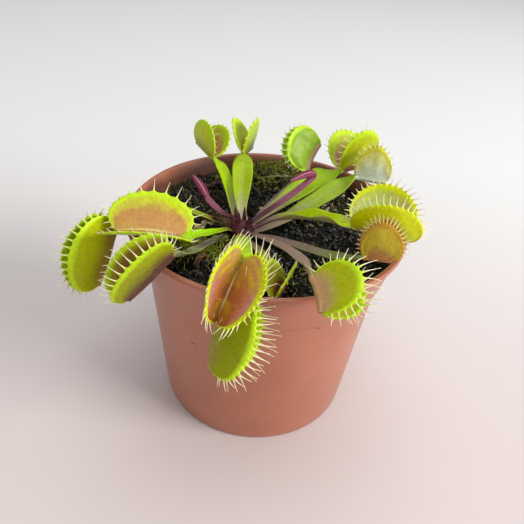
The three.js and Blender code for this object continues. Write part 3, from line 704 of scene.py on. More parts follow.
# Stalk: path from the crown to the trap, half widths at its foot and at its widest, fold of its wings,
# and its upward direction as two angles, as direction takes them.
# Trap: foot of its midrib; aim of the midrib and face of the mouth as two angles; length and height;
# opening of the left and the right lobe from the mouth; cup and arch angles; clam share; longest
# tooth of each margin; bite and hook angles of the teeth; and the number of teeth on a margin.
leaves = {
    "leaf_left_open": dict(
        stalk=dict(path=[(-12.65, -5.6, 67.5), (-16, -11, 69.5), (-18.5, -18, 73), (-24.7, -19, 72)],
                   width=(1.1, 2.2), fold=20, up=(0, 90)),
        trap=dict(at=(-24.7, -19, 72), aim=(187, 5), face=(-54, 80), size=(24, 12.5), open=(60, 51),
                  cup=35, arch=30, clam=0.06, tooth=(4.4, 2.6), bite=5, hook=15, margin=17,
                  ends=(0.5, 0.4)),
        colours=dict(
            blade="#9ccc00", root="#98a01a", base="#84782c", keel="#a8804c",
            outer="#c4cc0c", inner="#b88848", edge="#c0d40a", innerReach=0.86, streak=0.08,
            blush=0.35, flush="#b4785c", greenFrom=0.05,
        ),
    ),
    "leaf_left_far": dict(
        stalk=dict(path=[(-13.2, -2.5, 67.4), (-24, -4, 72), (-38, -6, 80), (-46, -13, 71)],
                   width=(1, 2), fold=15, up=(0, 90)),
        trap=dict(at=(-46, -13, 71), aim=(243, -60), face=(-135, 27), size=(25.8, 15), open=(8, 6.5),
                  cup=31, arch=-17, clam=0.06, tooth=(5.5, 5.5), bite=18, hook=20, margin=20),
        colours=dict(
            blade="#8fa014", root="#75602c", base="#4a3420", keel="#948a30",
            outer="#a8b400", inner="#a8702c", edge="#b0c410", keelReach=0.5,
            greenFrom=0.12,
        ),
    ),
    "leaf_left_near": dict(
        stalk=dict(path=[(-12.3, -5.4, 65), (-17, -8.5, 65.8), (-22, -26, 69), (-24, -36, 78)],
                   width=(1, 1.8), fold=15, up=(0, 90)),
        trap=dict(at=(-24, -36, 78), aim=(214, -40), face=(-160, 48), size=(22, 11.5), open=(18, 27),
                  cup=30, arch=-15, clam=0.06, tooth=(3.2, 4.6), bite=10, hook=20, margin=20),
        colours=dict(
            blade="#98a060", root="#948a78", under="#a09a80", base="#3c1c1c",
            keel="#7c5248", outer="#a8b010", inner="#8a6420", edge="#b0b818",
            keelReach=0.72, innerReach=0.95, greenFrom=0.5, speckle=0.8, blotch=0.35,
        ),
    ),
    "leaf_back_left": dict(
        stalk=dict(path=[(-9.6, 1.9, 65.4), (-13, 7, 67.8), (-14, 20, 74), (-20.5, 20.5, 79.5)],
                   width=(1.1, 2.2), fold=30, up=(-60, 40)),
        trap=dict(at=(-20.5, 20.5, 79.5), aim=(128, 8), face=(25, 62), size=(14.5, 11), open=(21, 27),
                  cup=36, arch=-6, clam=0.06, tooth=(2, 2.2), bite=6, hook=10, margin=15),
        colours=dict(
            blade="#98b800", root="#a8a060", base="#a89890", keel="#acac10",
            outer="#c8d800", inner="#a87c4c", edge="#b8cc14", keelReach=0.5,
            innerReach=0.82, greenFrom=0.3,
        ),
    ),
    "leaf_back_mid": dict(
        stalk=dict(path=[(-7.6, 2.3, 67.4), (-10, 6, 69.5), (-9.5, 19, 75), (-10.5, 25.5, 79.5)],
                   width=(1.2, 3.8), fold=18, up=(-90, 40)),
        trap=dict(at=(-10.5, 25.5, 79.5), aim=(75, -8), face=(106, 82), size=(13.3, 12.4), open=(15, 27),
                  cup=5, arch=-6, clam=0.06, tooth=(2.2, 1.8), bite=3, hook=10, margin=14),
        colours=dict(
            blade="#98b000", root="#b0ac78", base="#b4a494", keel="#94a004",
            outer="#b8d000", inner="#a89a10", edge="#c0d404", keelReach=0.4,
            innerReach=0.6, greenFrom=0.24,
        ),
    ),
    "leaf_back_right": dict(
        stalk=dict(path=[(-5, 1.2, 65.4), (-1.5, 9, 68.5), (8, 22, 69), (12.3, 22.3, 77)],
                   width=(1, 1.6), fold=20, up=(-90, 60)),
        trap=dict(at=(12.3, 22.3, 77), aim=(61, 39), face=(-171, 37), size=(14, 12.5), open=(7, 7),
                  cup=28, arch=12, clam=0.08, tooth=(2.4, 2.4), bite=10, hook=10, margin=18, wave=0.5),
        colours=dict(
            blade="#8c8450", root="#8a7468", keel="#a88468", outer="#88a82c",
            inner="#b4a04c", edge="#b8d828", keelReach=0.2, rim="#b4dc28", greenFrom=0.7,
            blotch=0.25,
        ),
    ),
    "leaf_right_back": dict(
        stalk=dict(path=[(-4.4, 0.6, 67.4), (4, 3, 73.5), (15, 21, 76), (24.5, 23, 77.5)],
                   width=(1.3, 4.4), fold=12, up=(-80, 78)),
        trap=dict(at=(24.5, 23, 77.5), aim=(32, 5), face=(137, 68), size=(16.5, 15), open=(30, 30),
                  cup=24, arch=-4, clam=0.06, tooth=(3, 3), bite=8, hook=10, margin=18),
        colours=dict(
            blade="#98b808", root="#a09468", base="#8c7068", keel="#80503c",
            outer="#b4c000", inner="#ac7458", edge="#b0cc24", keelReach=0.3,
            innerReach=0.82, greenFrom=0.3, blotch=0.3,
        ),
    ),
    "leaf_right_pale": dict(
        stalk=dict(path=[(-3.1, -1.4, 65.4), (6, -1.5, 69.5), (20, 12.5, 74.5), (28.5, 16, 79.5)],
                   width=(1.2, 3.2), fold=12, up=(-80, 70)),
        trap=dict(at=(28.5, 16, 79.5), aim=(-8, -2), face=(72, 73), size=(13.5, 12), open=(13, 13),
                  cup=34, arch=-21, clam=0.06, tooth=(2.4, 2.4), bite=12, hook=10, margin=15),
        colours=dict(
            # the back of this lobe is pale in itself; its near-white keel colour, whitest at the keel and
            # fading out almost at the margin, is painted highlight
            blade="#8aa41c", root="#a89474", base="#a08478", keel="#dce8cc",
            outer="#d2cc60", inner="#c0b080", edge="#c4cc60", rim="#ccc838",
            keelReach=0.95, greenFrom=0.3,
        ),
    ),
    "leaf_right_large": dict(
        stalk=dict(path=[(-2.4, -2.6, 67.6), (5, -3.5, 75), (18, -12, 77.5), (25, -16, 79)],
                   width=(1.2, 3.4), fold=55, up=(-90, 84), ripple=0.16, waves=17),
        trap=dict(at=(25, -16, 79), aim=(-4, -11), face=(37, 75), size=(20.5, 15.5), open=(36, 25),
                  cup=58, arch=0, clam=0.08, tooth=(3.6, 3.6), bite=15, hook=15, margin=26),
        colours=dict(
            blade="#b4cc04", root="#a08a80", base="#7a4c50", under="#b89c98",
            keel="#c0966a", outer="#dce603", inner="#a8b868", edge="#bcc850",
            rim="#d4dc1c", keelReach=0.3, innerReach=0.9, streak=0.1, greenFrom=0.22,
            blotch=0.3,
        ),
    ),
    "leaf_right_small": dict(
        stalk=dict(path=[(-3.2, -5, 65.4), (6, -9.5, 70), (19, -25, 71), (27, -29, 77.5)],
                   width=(1.2, 2.2), fold=5, up=(0, 90)),
        trap=dict(at=(27, -29, 77.5), aim=(-12, 5), face=(93, 72), size=(12, 11), open=(11, 12),
                  cup=44, arch=-11, clam=0.1, tooth=(3, 3), bite=15, hook=10, margin=24, foot=0.25),
        colours=dict(
            blade="#7c8a48", root="#8c7468", under="#8a7c60", base="#4a2c24",
            keel="#ac7440", outer="#bca42c", inner="#94601c", edge="#b09424",
            rim="#b88c24", tooth="#dcc080", keelReach=0.5, greenFrom=0.5, speckle=0.6,
        ),
    ),
    "leaf_front_right": dict(
        stalk=dict(path=[(-4.4, -6.6, 67.5), (0.5, -15.5, 71), (10, -32, 80.5), (12.5, -42.5, 79)],
                   width=(1.1, 1.7), fold=8, up=(0, 90)),
        trap=dict(at=(12.5, -42.5, 79), aim=(-79, -11), face=(8, 19), size=(14.5, 12), open=(15, 17),
                  cup=24, arch=10, clam=0.06, tooth=(5.5, 5), bite=8, hook=10, margin=20,
                  ends=(0.85, 0.5)),
        colours=dict(
            blade="#9a8a66", root="#90786a", under="#9a8070", base="#6c4844",
            keel="#bc9468", outer="#aab200", inner="#b8942c", edge="#c4d010",
            keelReach=0.62, greenFrom=0.85, blotch=0.35,
        ),
    ),
    "leaf_front_open": dict(
        stalk=dict(path=[(-8, -8.2, 67.5), (-7, -22, 75.5), (-6, -34, 83), (-5.5, -42.5, 82.5)],
                   width=(1.1, 2.5), fold=10, up=(0, 90)),
        trap=dict(at=(-5.5, -42.5, 82.5), aim=(250, -33), face=(-70, 49), size=(21.5, 12.5), open=(29, 31),
                  cup=20, arch=-26, clam=0.03, tooth=(5.5, 6), bite=4, hook=10, margin=23,
                  ends=(1.05, 0.35)),
        colours=dict(
            blade="#a0c00c", root="#98a030", base="#94501c", keel="#a48a4c",
            outer="#b8c41c", inner="#a8641c", edge="#ccb830", rim="#cfe018", rib="#ecdca0",
            flush="#c08278", innerReach=0.93, streak=0.6, blush=0.9, fade=0.9,
            greenFrom=0.1, blotch=0.5,
        ),
    ),
    "leaf_front_hanging": dict(
        stalk=dict(path=[(-9.6, -7.9, 65.4), (-11, -20, 69), (-12.5, -41, 77.2), (-6.6, -47.8, 74.3)],
                   width=(1, 2.2), fold=10, up=(0, 90)),
        trap=dict(at=(-6.6, -47.8, 74.3), aim=(-114, -54), face=(-19, -4), size=(24.5, 12), open=(20, 28),
                  cup=30, arch=-45, clam=0.06, tooth=(5.5, 6), bite=10, hook=15, margin=21,
                  ends=(0.7, 0.5)),
        colours=dict(
            blade="#9aa018", root="#8c8450", keel="#9c8c3c", outer="#949a00",
            inner="#a8702c", edge="#bcc414", keelReach=0.36, greenFrom=0.4,
        ),
    ),
    "leaf_front_small": dict(
        stalk=dict(path=[(-5.5, -7.5, 65.4), (-4, -14, 67.8), (-1.5, -17, 69.5), (6.6, -30.9, 67.3)],
                   width=(0.9, 1.4), fold=10, up=(0, 90)),
        trap=dict(at=(6.6, -30.9, 67.3), aim=(-107, 5), face=(40, 85), size=(12.2, 9.5), open=(33, 15),
                  cup=7, arch=3, clam=0.03, tooth=(2.2, 1.8), bite=4, hook=10, margin=15),
        colours=dict(
            blade="#9aa038", root="#8c7a58", keel="#8c3c30", outer="#a8b41c",
            inner="#742c20", edge="#b4b820", innerReach=0.52, streak=0.1, keelReach=0.3,
            greenFrom=0.5,
        ),
    ),
}


leafPieces = [makeLeaf(name, spec, k + 1) for k, (name, spec) in enumerate(leaves.items())]
print("leaves made,", sum(len(p.data.polygons) for p in leafPieces), "triangles")


# young leaves

youngColours = dict(
    root="#4a242c", base="#40202a", blade="#7c4454", under="#966270", keel="#7c2c4c", outer="#6a2440",
    inner="#4c1c2a", edge="#7c3a50", rim="#b07c80", tooth="#c08a80", rib="#8a4456",
    greenFrom=0.3, keelReach=0.6,
)
young = {
    "young_leaf_left": dict(
        stalk=dict(path=[(-11.6, -2.4, 70.6), (-14.2, -3.6, 71.4), (-17.6, -1.6, 72.6), (-20.4, 3, 74)],
                   width=(0.8, 1.3), up=(0, 90), fold=20),
        bud=dict(path=[(-20, 2.4, 73.8), (-22, 6, 74.8), (-24, 9, 76), (-26.2, 11, 77.2)],
                 size=(1.5, 1), up=(0, 90)),
    ),
    "young_leaf_right": dict(
        stalk=dict(path=[(-4.5, -4.1, 70.6), (0, 0.5, 72.6), (8, 3.5, 77), (14.4, 13.4, 79.4)],
                   width=(0.8, 1.1), up=(-60, 60), fold=15),
        bud=dict(path=[(13.8, 12.4, 79.2), (15.4, 15, 80.6), (12, 12, 81.4), (6.2, 6, 80.4)],
                 size=(1.5, 1), up=(-60, 60)),
    ),
}
budShape = dict(
    stations=36, corners=28,
    runs=(0, 0.06, 0.12, 0.3, 0.5, 0.7, 0.88, 0.96, 1),
    sizes=(0.45, 0.66, 0.8, 1, 1, 0.85, 0.55, 0.36, 0.12),  # share of its full size at each of the runs
    slitDepth=0.4, slitWidth=0.22,
)


# Furled trap: an ellipse carried along the bud's path, drawn in to a slit between its two lobes.
def makeBud(bud):
    g = budShape
    s = np.linspace(0, 1, g["stations"])
    centre = curvePoint(bud["path"], s)
    size = np.interp(s, g["runs"], g["sizes"])
    ahead = unit(np.gradient(centre, axis=0))
    across = unit(np.cross(ahead, direction(*bud["up"])))
    normal = np.cross(across, ahead)
    angle = roundAngles(g["corners"])
    slit = 1 - g["slitDepth"] * np.exp(-((angle - np.pi / 2) / g["slitWidth"]) ** 2)
    radius = size[:, None] * slit[None]
    ring = centre[:, None] + (bud["size"][0] * radius * np.cos(angle))[..., None] * across[:, None]
    ring = ring + (bud["size"][1] * radius * np.sin(angle))[..., None] * normal[:, None]
    share = np.clip(np.sin(angle), 0, 1)[None, None] ** 7 * np.ones((1, len(s), 1))  # 1 in the slit alone
    return tubes(ring[None], share=share, run=s[None, :, None], inside=0.0, organ=1.0)


def makeYoungLeaf(name, spec):
    shells = [makeStalk(spec["stalk"], None), makeBud(spec["bud"])]
    material = tissueMaterial("tissue_" + name, youngColours)
    return putMesh(name + "_fine", shells, material, "young_tissue", name)


for name, spec in young.items():
    makeYoungLeaf(name, spec)
print("young leaves made")


# pot

pot = dict(
    sides=192, height=72, rim=45.0, lip=1.6, lipWidth=1.7, collar=40.6, collarLow=57, body=39.2, base=33.8,
    floor=1.6, wall=1.1, seat=1.2,        # seat: how far above the collar's foot its inner step starts
    drain=3, drainSides=24, ring=24, drains=6,
    light="#b47056", dark="#9a5b42", dirt="#4a2f24", nick="#3a2520",
    wet=(66.2, 71.2), wetRise=0.045,      # where the dirt inside fades out, and its rise to one side
    patches=45, grain=700, tear=1400,     # noises, in cells to the metre
    # centre and reach of each small dark nick in the wall
    nicks=(((-19.4, -32.4, 42.2), (1.5, 1.5, 0.4)), ((17.5, -34.9, 55), (1.2, 1.2, 0.3)),
           ((5.7, -35.2, 19.1), (0.4, 0.4, 0.3))),
)


# Closed body from a profile of (radius, height) turned about the Z axis; it runs from axis to axis.
# Its step mark counts the rings, from 0 at the first to 1 past the last.
def spin(profile, sides):
    profile = np.array(profile, float)
    angle = roundAngles(sides)
    rings = profile[1:-1]
    circle = np.stack([np.cos(angle), np.sin(angle), np.zeros(sides)], -1)
    height = rings[:, 1:, None] * np.array([0, 0, 1])
    points = rings[:, :1, None] * circle[None] + height
    ends = [[0, 0, profile[0, 1]], [0, 0, profile[-1, 1]]]
    r = len(rings)
    step = np.concatenate([np.repeat(np.arange(r), sides), [-1, r]]) / r
    points = np.concatenate([points.reshape(-1, 3), ends])
    return dict(points=points, faces=tubeFaces(r, sides), marks=dict(step=step))


# Points evenly between two ends, at the given shares of the way.
def between(first, last, shares):
    return [tuple(a + (b - a) * t for a, b in zip(first, last)) for t in shares]


# Profile of the wall: straight body, soft step to the collar, flare and a lip with a groove in its top.
def potProfile():
    p = pot
    base, body, collar, rim = p["base"], p["body"], p["collar"], p["rim"]
    foot, top = p["collarLow"], p["height"]
    low, flare, mouth = top - p["lip"], rim - 1.4, rim - p["lipWidth"]
    inner, step = collar - p["wall"], foot + p["seat"]
    profile = [(0, 0), (12, 0), (24, 0), (base - 1.4, 0), (base - 0.6, 0.12), (base - 0.15, 0.45)]
    profile += [(base, 1)] + [(base + (body - base) * z / foot, z) for z in np.linspace(6, foot - 0.5, 9)]
    profile += [(body + 0.05, foot - 0.15), (body + 0.5, foot)]
    profile += [(collar - 0.25, foot + 0.1), (collar, foot + 0.5)]
    profile += between((collar, foot), (flare, low - 0.4), (0.2, 0.4, 0.6, 0.8, 0.95))
    profile += [(flare + 0.1, low - 0.3), (rim - 0.45, low - 0.12), (rim - 0.1, low + 0.08)]
    profile += [(rim, low + 0.35), (rim, top - 0.75), (rim - 0.1, top - 0.3), (rim - 0.4, top - 0.05)]
    profile += [(rim - 0.75, top), (rim - 0.95, top - 0.16), (rim - 1.15, top)]
    profile += [(mouth + 0.25, top - 0.04), (mouth, top - 0.3)]
    profile += between((mouth, top), (inner, step), (0.05, 0.3, 0.6, 0.9))
    profile += [(inner, step), (body - p["wall"], foot - 1.2), (base - p["wall"] + 0.2, p["floor"] + 1.2)]
    profile += [(base - p["wall"] - 1, p["floor"]), (24, p["floor"]), (0, p["floor"])]
    return profile


# Dark nicks: each mask is full within half the reach of its centre and torn at its edge by noise.
def addNicks(tree, where, base):
    torn = addNode(tree, "ShaderNodeTexNoise", {"Vector": where, "Scale": pot["tear"]}).outputs["Color"]
    shift = 0.9 * mm
    torn = vectorCalc(tree, "MULTIPLY", torn, (shift, shift, shift))
    torn = vectorCalc(tree, "ADD", where, torn)
    for centre, reach in pot["nicks"]:
        middle = tuple(x * mm + shift / 2 for x in centre)
        away = vectorCalc(tree, "SUBTRACT", torn, middle)
        away = vectorCalc(tree, "DIVIDE", away, tuple(x * mm for x in reach))
        far = addNode(tree, "ShaderNodeVectorMath", {0: away}, operation="LENGTH").outputs["Value"]
        base = mixColour(tree, smoothMask(tree, far, 0.5, 1.0, 0.85, 0.0), base, linear(pot["nick"]))
    return base


# Moulded plastic in two close tones, with dirt on the inner wall up to a wavy line that rises to the
# back left.
def potMaterial():
    material, tree, shader = newMaterial(
        "terracotta_plastic", Roughness=0.36, Coat_Weight=0.15, Coat_Roughness=0.25)
    where = place(tree)
    apart = addNode(tree, "ShaderNodeSeparateXYZ", {0: where}).outputs
    broad, fine = noise(tree, where, pot["patches"], 4), noise(tree, where, pot["grain"])
    blotch = smoothMask(tree, broad, 0.3, 0.7, 0.25, 0.65)
    base = mixColour(tree, blotch, linear(pot["light"]), linear(pot["dark"]))
    wet = plus(tree, apart[2], times(tree, minus(tree, broad, 0.5), 0.01))
    backLeft = minus(tree, times(tree, apart[1], 0.9), times(tree, apart[0], 0.5))
    wet = minus(tree, wet, times(tree, backLeft, pot["wetRise"]))
    inside = calc(tree, "GREATER_THAN", attribute(tree, "step"), 0.74)  # rings past the lip
    low, high = (z * mm for z in pot["wet"])
    stain = times(tree, smoothMask(tree, wet, low, high, 1.0, 0.0), inside)
    base = mixColour(tree, times(tree, stain, 0.75), base, linear(pot["dirt"]))
    tree.links.new(addNicks(tree, where, base), shader.inputs["Base Color"])
    bumpInto(tree, shader, fine, 0.02 * mm, 0.4)
    return material


# The drain holes are cut out of the floor by a ring of upright rods.
def makePot():
    p = pot
    wall = spin(potProfile(), p["sides"])
    piece = putMesh("pot_fine", [wall], potMaterial(), "terracotta_plastic", "pot")
    rods = []
    for k in range(p["drains"]):
        angle = (k + 0.5) / p["drains"] * 2 * np.pi
        top = p["floor"] + 1
        rod = spin([(0, -1), (p["drain"], -1), (p["drain"], top), (0, top)], p["drainSides"])
        rod["points"] = rod["points"] + np.array([p["ring"] * np.cos(angle), p["ring"] * np.sin(angle), 0])
        rods.append(rod)
    points, faces = joined(rods)
    mesh = bpy.data.meshes.new("drains")
    mesh.from_pydata((points * mm).tolist(), [], faces.tolist())
    cutter = addObject("drains", mesh)
    cut = piece.modifiers.new("drains", "BOOLEAN")
    cut.operation, cut.object, cut.solver = "DIFFERENCE", cutter, "EXACT"
    view = bpy.context.evaluated_depsgraph_get()
    cutMesh = bpy.data.meshes.new_from_object(piece.evaluated_get(view))
    piece.modifiers.clear()
    piece.data = cutMesh
    bpy.data.objects.remove(cutter)
    return piece


makePot()
print("pot made")


# soil

soil = dict(
    level=65.6, pit=5.2, pitFloor=57.5, gap=0.35, rings=120, sides=380,
    mound=dict(place=(5, 37), reach=(17, 9), height=4.6),
    dip=dict(reach=110, depth=2.2),                            # reach: a squared length
    lumps=((4.6, 1.8), (2.3, 1.4), (1.15, 0.8), (0.6, 0.35)),  # cell and height of each size of lump
    patches=60, grains=500, dust=2200,                         # noises, in cells to the metre
    dark="#040303", brown="#15100c", pale="#5a4c3c", moss="#2a3208",
)


# Height of the ground: two slow waves, a mound at the back and a dip round the crown.
def soilHeight(x, y):
    rough = 0.45 * np.sin(0.31 * x + 0.9) * np.cos(0.27 * y - 0.4) + 0.3 * np.sin(0.17 * x - 0.41 * y)
    mound, dip = soil["mound"], soil["dip"]
    fromMound = [((v - c) / reach) ** 2 for v, c, reach in zip((x, y), mound["place"], mound["reach"])]
    fromCrown = sum((v - c) ** 2 for v, c in zip((x, y), crown["place"]))
    rise = mound["height"] * np.exp(-fromMound[0] - fromMound[1])
    return soil["level"] + rough + rise - dip["depth"] * np.exp(-fromCrown / dip["reach"])


# Lumps of peat: the size of smooth random heights, which creases where they change sign, at four scales.
def peatRelief(x, y):
    return sum(height * (np.abs(ridges(x + 5 * k, y - 3 * k, cell, 11 + k)) - 0.3)
               for k, (cell, height) in enumerate(soil["lumps"]))


def ground(x, y):
    return soilHeight(x, y) + peatRelief(x, y)


# The plug: its top runs from the wall in to the pit of the crown, over the ground's height, and its
# side follows the inner wall of the pot down to the floor.
def makeSoil():
    p = soil
    inner = pot["collar"] - pot["wall"] - p["gap"]
    step = pot["collarLow"] + pot["seat"]
    mouth = pot["rim"] - pot["lipWidth"]
    slope = (mouth - pot["collar"] + pot["wall"]) / (pot["height"] - step)
    angle = roundAngles(p["sides"])
    circle = np.stack([np.cos(angle), np.sin(angle)], -1)

    def ring(radius, height):
        return np.concatenate([radius * circle, np.full((len(circle), 1), height)], -1)

    pit = np.array(crown["place"]) + p["pit"] * circle
    edge = (inner + slope * (p["level"] - step)) * circle
    share = np.linspace(1, 0, p["rings"])[:, None, None]
    flat = pit[None] * (1 - share) + edge[None] * share
    x, y = flat[..., 0], flat[..., 1]
    z = soilHeight(x, y) + peatRelief(x, y) * ease(share[..., 0], 0, 0.05)
    top = np.concatenate([flat, z[..., None]], -1)
    top[0, :, :2] = (inner + slope * (z[0] - step))[:, None] * circle
    low = [ring(pot["base"] - pot["wall"] - p["gap"] - 0.5, pot["floor"] + p["gap"]),
           ring(pot["body"] - pot["wall"] - p["gap"], pot["collarLow"] - 0.85),
           ring(inner, pot["collarLow"] + 1.55)]
    deep = np.concatenate([pit, np.full((len(circle), 1), p["pitFloor"])], -1)
    rings = np.concatenate([np.array(low), top, deep[None]])
    return putMesh("soil_fine", [tubes(rings[None])], soilMaterial(), "peat", "soil")


# Dark wet peat with brown grains, faint moss in patches and pale dust; the grains are rough, the
# hollows between them wet.
def soilMaterial():
    material, tree, shader = newMaterial("peat", Specular_IOR_Level=0.22)
    where = place(tree)
    broad = noise(tree, where, soil["patches"], 4)
    mid, fine = noise(tree, where, soil["grains"], 5), noise(tree, where, soil["dust"])
    base = mixColour(tree, smoothMask(tree, mid, 0.42, 0.72), linear(soil["dark"]), linear(soil["brown"]))
    base = mixColour(tree, smoothMask(tree, broad, 0.5, 0.62, 0.0, 0.6), base, linear(soil["moss"]))
    base = mixColour(tree, smoothMask(tree, fine, 0.62, 0.76, 0.0, 0.4), base, linear(soil["pale"]))
    tree.links.new(base, shader.inputs["Base Color"])
    tree.links.new(smoothMask(tree, mid, 0.35, 0.62, 0.18, 0.9), shader.inputs["Roughness"])
    bumpInto(tree, shader, plus(tree, mid, fine), 0.4 * mm, 0.8)
    return material


makeSoil()
print("soil made")


# crumbs, fibres, flakes and moss on the ground

litter = dict(
    crumbs=dict(count=2600, size=(0.3, 1.35), sink=0.2, shape=(1, 1, 1), vary=(0.55, 1.2), seed=41),
    fibres=dict(count=150, length=(3, 8), half=(0.07, 0.15), seed=42),
    flakes=dict(count=110, size=(0.8, 1.9), spot=(20, 15), spread=(8, 5), lift=0.3,
                shape=(1.0, 0.5, 0.16), vary=(0.7, 1.2), seed=43),
    cushions=dict(count=900, size=(0.35, 1.0), spot=(4, 35), spread=(12, 4.5), sink=0.3,
                  shape=(1.0, 1.0, 0.7), vary=(0.7, 1.2), tone=0.78, seed=44),
    crownClear=6.2, wallClear=39.6,  # radius about the crown that stays bare, and radius of the litter
    grain=1500,                      # noise, in cells to the metre
)
# patches of moss: centre, spread across and away, strands, their length and tone from dark to lime
mossPatches = (
    dict(spot=(4, 37), spread=(12, 3.2), count=2200, length=1.9, tone=0.7),
    dict(spot=(0, 31), spread=(14, 5), count=1000, length=1.5, tone=0.4),
    dict(spot=(-19, -15), spread=(5, 4.5), count=900, length=2.5, tone=1.0),
    dict(spot=(-27, 18), spread=(7, 10), count=620, length=1.5, tone=0.4),
    dict(spot=(22, 15), spread=(8, 5), count=520, length=1.6, tone=0.62),
    dict(spot=(5, 14), spread=(13, 10), count=420, length=1.2, tone=0.45),
    dict(spot=(14, -22), spread=(10, 6), count=300, length=1.3, tone=0.8),
)
# from each litter's darkest tone to its palest
litterColours = dict(
    crumbs=("#020202", "#0b0908", "#2c221a"), fibres=("#120c08", "#33241a", "#8a7854"),
    flakes=("#3c3424", "#8a7e5c", "#c4bc9c"), moss=("#15150a", "#6a6414", "#a8b814"),
    dryLeaf=("#2a1610", "#5a3620", "#8c7444", "#c0b486"),
)


# Spots on the ground, even over its disc or normal round a patch, and clear of the crown and the wall.
def spots(rng, count, centre=None, spread=None):
    if centre is None:
        radius, angle = np.sqrt(rng.uniform(30, 41 ** 2, 3 * count)), rng.uniform(0, 2 * np.pi, 3 * count)
        x, y = radius * np.cos(angle), radius * np.sin(angle)
    else:
        x, y = (rng.normal(centre[k], spread[k], 3 * count) for k in (0, 1))
    fromCrown = np.hypot(x - crown["place"][0], y - crown["place"][1])
    free = (fromCrown > litter["crownClear"]) & (np.hypot(x, y) < litter["wallClear"])
    return x[free][:count], y[free][:count]


# Ball of 18 points and 32 triangles: an octahedron whose edges are halved and pushed out to its sphere.
def roughBall():
    corners = np.array([(1, 0, 0), (-1, 0, 0), (0, 1, 0), (0, -1, 0), (0, 0, 1), (0, 0, -1)], float)
    points, faces, middles = list(corners), [], {}

    def middleOf(a, b):
        key = (min(a, b), max(a, b))
        if key not in middles:
            middles[key] = len(points)
            points.append(unit(corners[a] + corners[b]))
        return middles[key]

    for a, b, c in ((0, 2, 4), (2, 1, 4), (1, 3, 4), (3, 0, 4), (2, 0, 5), (1, 2, 5), (3, 1, 5), (0, 3, 5)):
        d, e, f = middleOf(a, b), middleOf(b, c), middleOf(c, a)
        faces += [(a, d, f), (d, b, e), (f, e, c), (d, e, f)]
    return np.array(points), np.array(faces)


# Small lumps: copies of the rough ball, each point jittered, then scaled, tilted and turned.
def blobs(centres, scales, rng, flat=False):
    ball, faces = roughBall()
    n, m = len(centres), len(ball)
    shape = ball[None] * (1 + rng.normal(0, 0.2, (n, m, 1))) * scales[:, None]
    tilt = rng.normal(0, 0.25 if flat else 1.2, (n, 2))
    turn = rng.uniform(0, 2 * np.pi, n)
    for axis, angles in ((0, tilt[:, 0]), (1, tilt[:, 1]), (2, turn)):
        i, j = [k for k in range(3) if k != axis]
        c, t = np.cos(angles)[:, None], np.sin(angles)[:, None]
        first, second = shape[..., i] * c - shape[..., j] * t, shape[..., i] * t + shape[..., j] * c
        shape[..., i], shape[..., j] = first, second
    points = (shape + centres[:, None]).reshape(-1, 3)
    index = (faces[None] + (np.arange(n) * m)[:, None, None]).reshape(-1, 3)
    return dict(points=points, faces=index, marks=dict(tone=np.repeat(rng.uniform(0, 1, n), m)))


# Scattered lumps of one kind; small shrinks some of them by up to half.
def scatter(spec, small=False, flat=False):
    rng = np.random.default_rng(spec["seed"])
    x, y = spots(rng, spec["count"], spec.get("spot"), spec.get("spread"))
    size = rng.uniform(*spec["size"], len(x))
    if small:
        size = size * rng.uniform(0.5, 1, len(x))
    scales = size[:, None] * np.array(spec["shape"]) * rng.uniform(*spec["vary"], (len(x), 3))
    z = ground(x, y) + (spec["lift"] if flat else spec["sink"] * size)
    return blobs(np.stack([x, y, z], -1), scales, rng, flat)


# Thin curved threads that follow the ground, along a heading that turns steadily over their length,
# and that arch a little off it in the middle.
def makeFibres(spec):
    rng = np.random.default_rng(spec["seed"])
    x, y = spots(rng, spec["count"])
    n = len(x)
    s = np.linspace(-0.5, 0.5, 9)[None]
    length = rng.uniform(*spec["length"], n)[:, None]
    heading = rng.uniform(0, 2 * np.pi, n)[:, None] + rng.normal(0, 1.4, n)[:, None] * s
    pathX = np.clip(x[:, None] + length * s * np.cos(heading), -38, 38)
    pathY = np.clip(y[:, None] + length * s * np.sin(heading), -38, 38)
    lift = rng.uniform(0.0, 0.9, n)[:, None] * np.cos(np.pi * s) + 0.05
    path = np.stack([pathX, pathY, ground(pathX, pathY) + lift], -1)
    near = np.hypot(path[..., 0], path[..., 1]).max(1) < 39.4
    path, n = path[near], int(near.sum())
    half = rng.uniform(*spec["half"], n)[:, None] * (1 - 3.2 * s ** 2)
    ahead = unit(np.gradient(path, axis=1))
    across = unit(np.cross(ahead, (0, 0, 1)))
    normal = np.cross(across, ahead)
    ring = ellipseRings(path, half, across[:, :, None], half, normal[:, :, None], roundAngles(4))
    return tubes(ring, tone=rng.uniform(0, 1, n)[:, None, None])


# Moss strands: short tapering threads that stand on the ground and lean further towards their tips.
def makeMoss(patch, seed):
    rng = np.random.default_rng(seed)
    x, y = spots(rng, patch["count"], patch["spot"], patch["spread"])
    n = len(x)
    s = np.array([0, 0.4, 0.75, 1.0])[None]
    taper = np.array([0.9, 1.0, 0.7, 0.12])[None]
    length = patch["length"] * rng.uniform(0.5, 1.25, n)[:, None]
    heading = rng.uniform(0, 2 * np.pi, n)[:, None]
    lean = np.abs(rng.normal(0.55, 0.35, n))[:, None] * (0.6 + 0.8 * s)
    run, rise = length * s * np.sin(lean), length * s * np.cos(lean)
    path = np.stack([x[:, None] + run * np.cos(heading), y[:, None] + run * np.sin(heading),
                     (ground(x, y) - 0.25)[:, None] + rise], -1)
    half = rng.uniform(0.13, 0.26, n)[:, None] * taper
    across = np.stack([-np.sin(heading), np.cos(heading), 0 * heading], -1)
    normal = unit(np.cross(across, unit(np.gradient(path, axis=1))))
    ring = ellipseRings(path, half, across[:, :, None], 0.5 * half, normal[:, :, None],
                        roundAngles(3) + 0.4)
    tone = np.clip(patch["tone"] + rng.normal(0, 0.28, n), 0, 1)
    return tubes(ring, tone=tone[:, None, None] * (0.55 + 0.45 * s)[..., None])


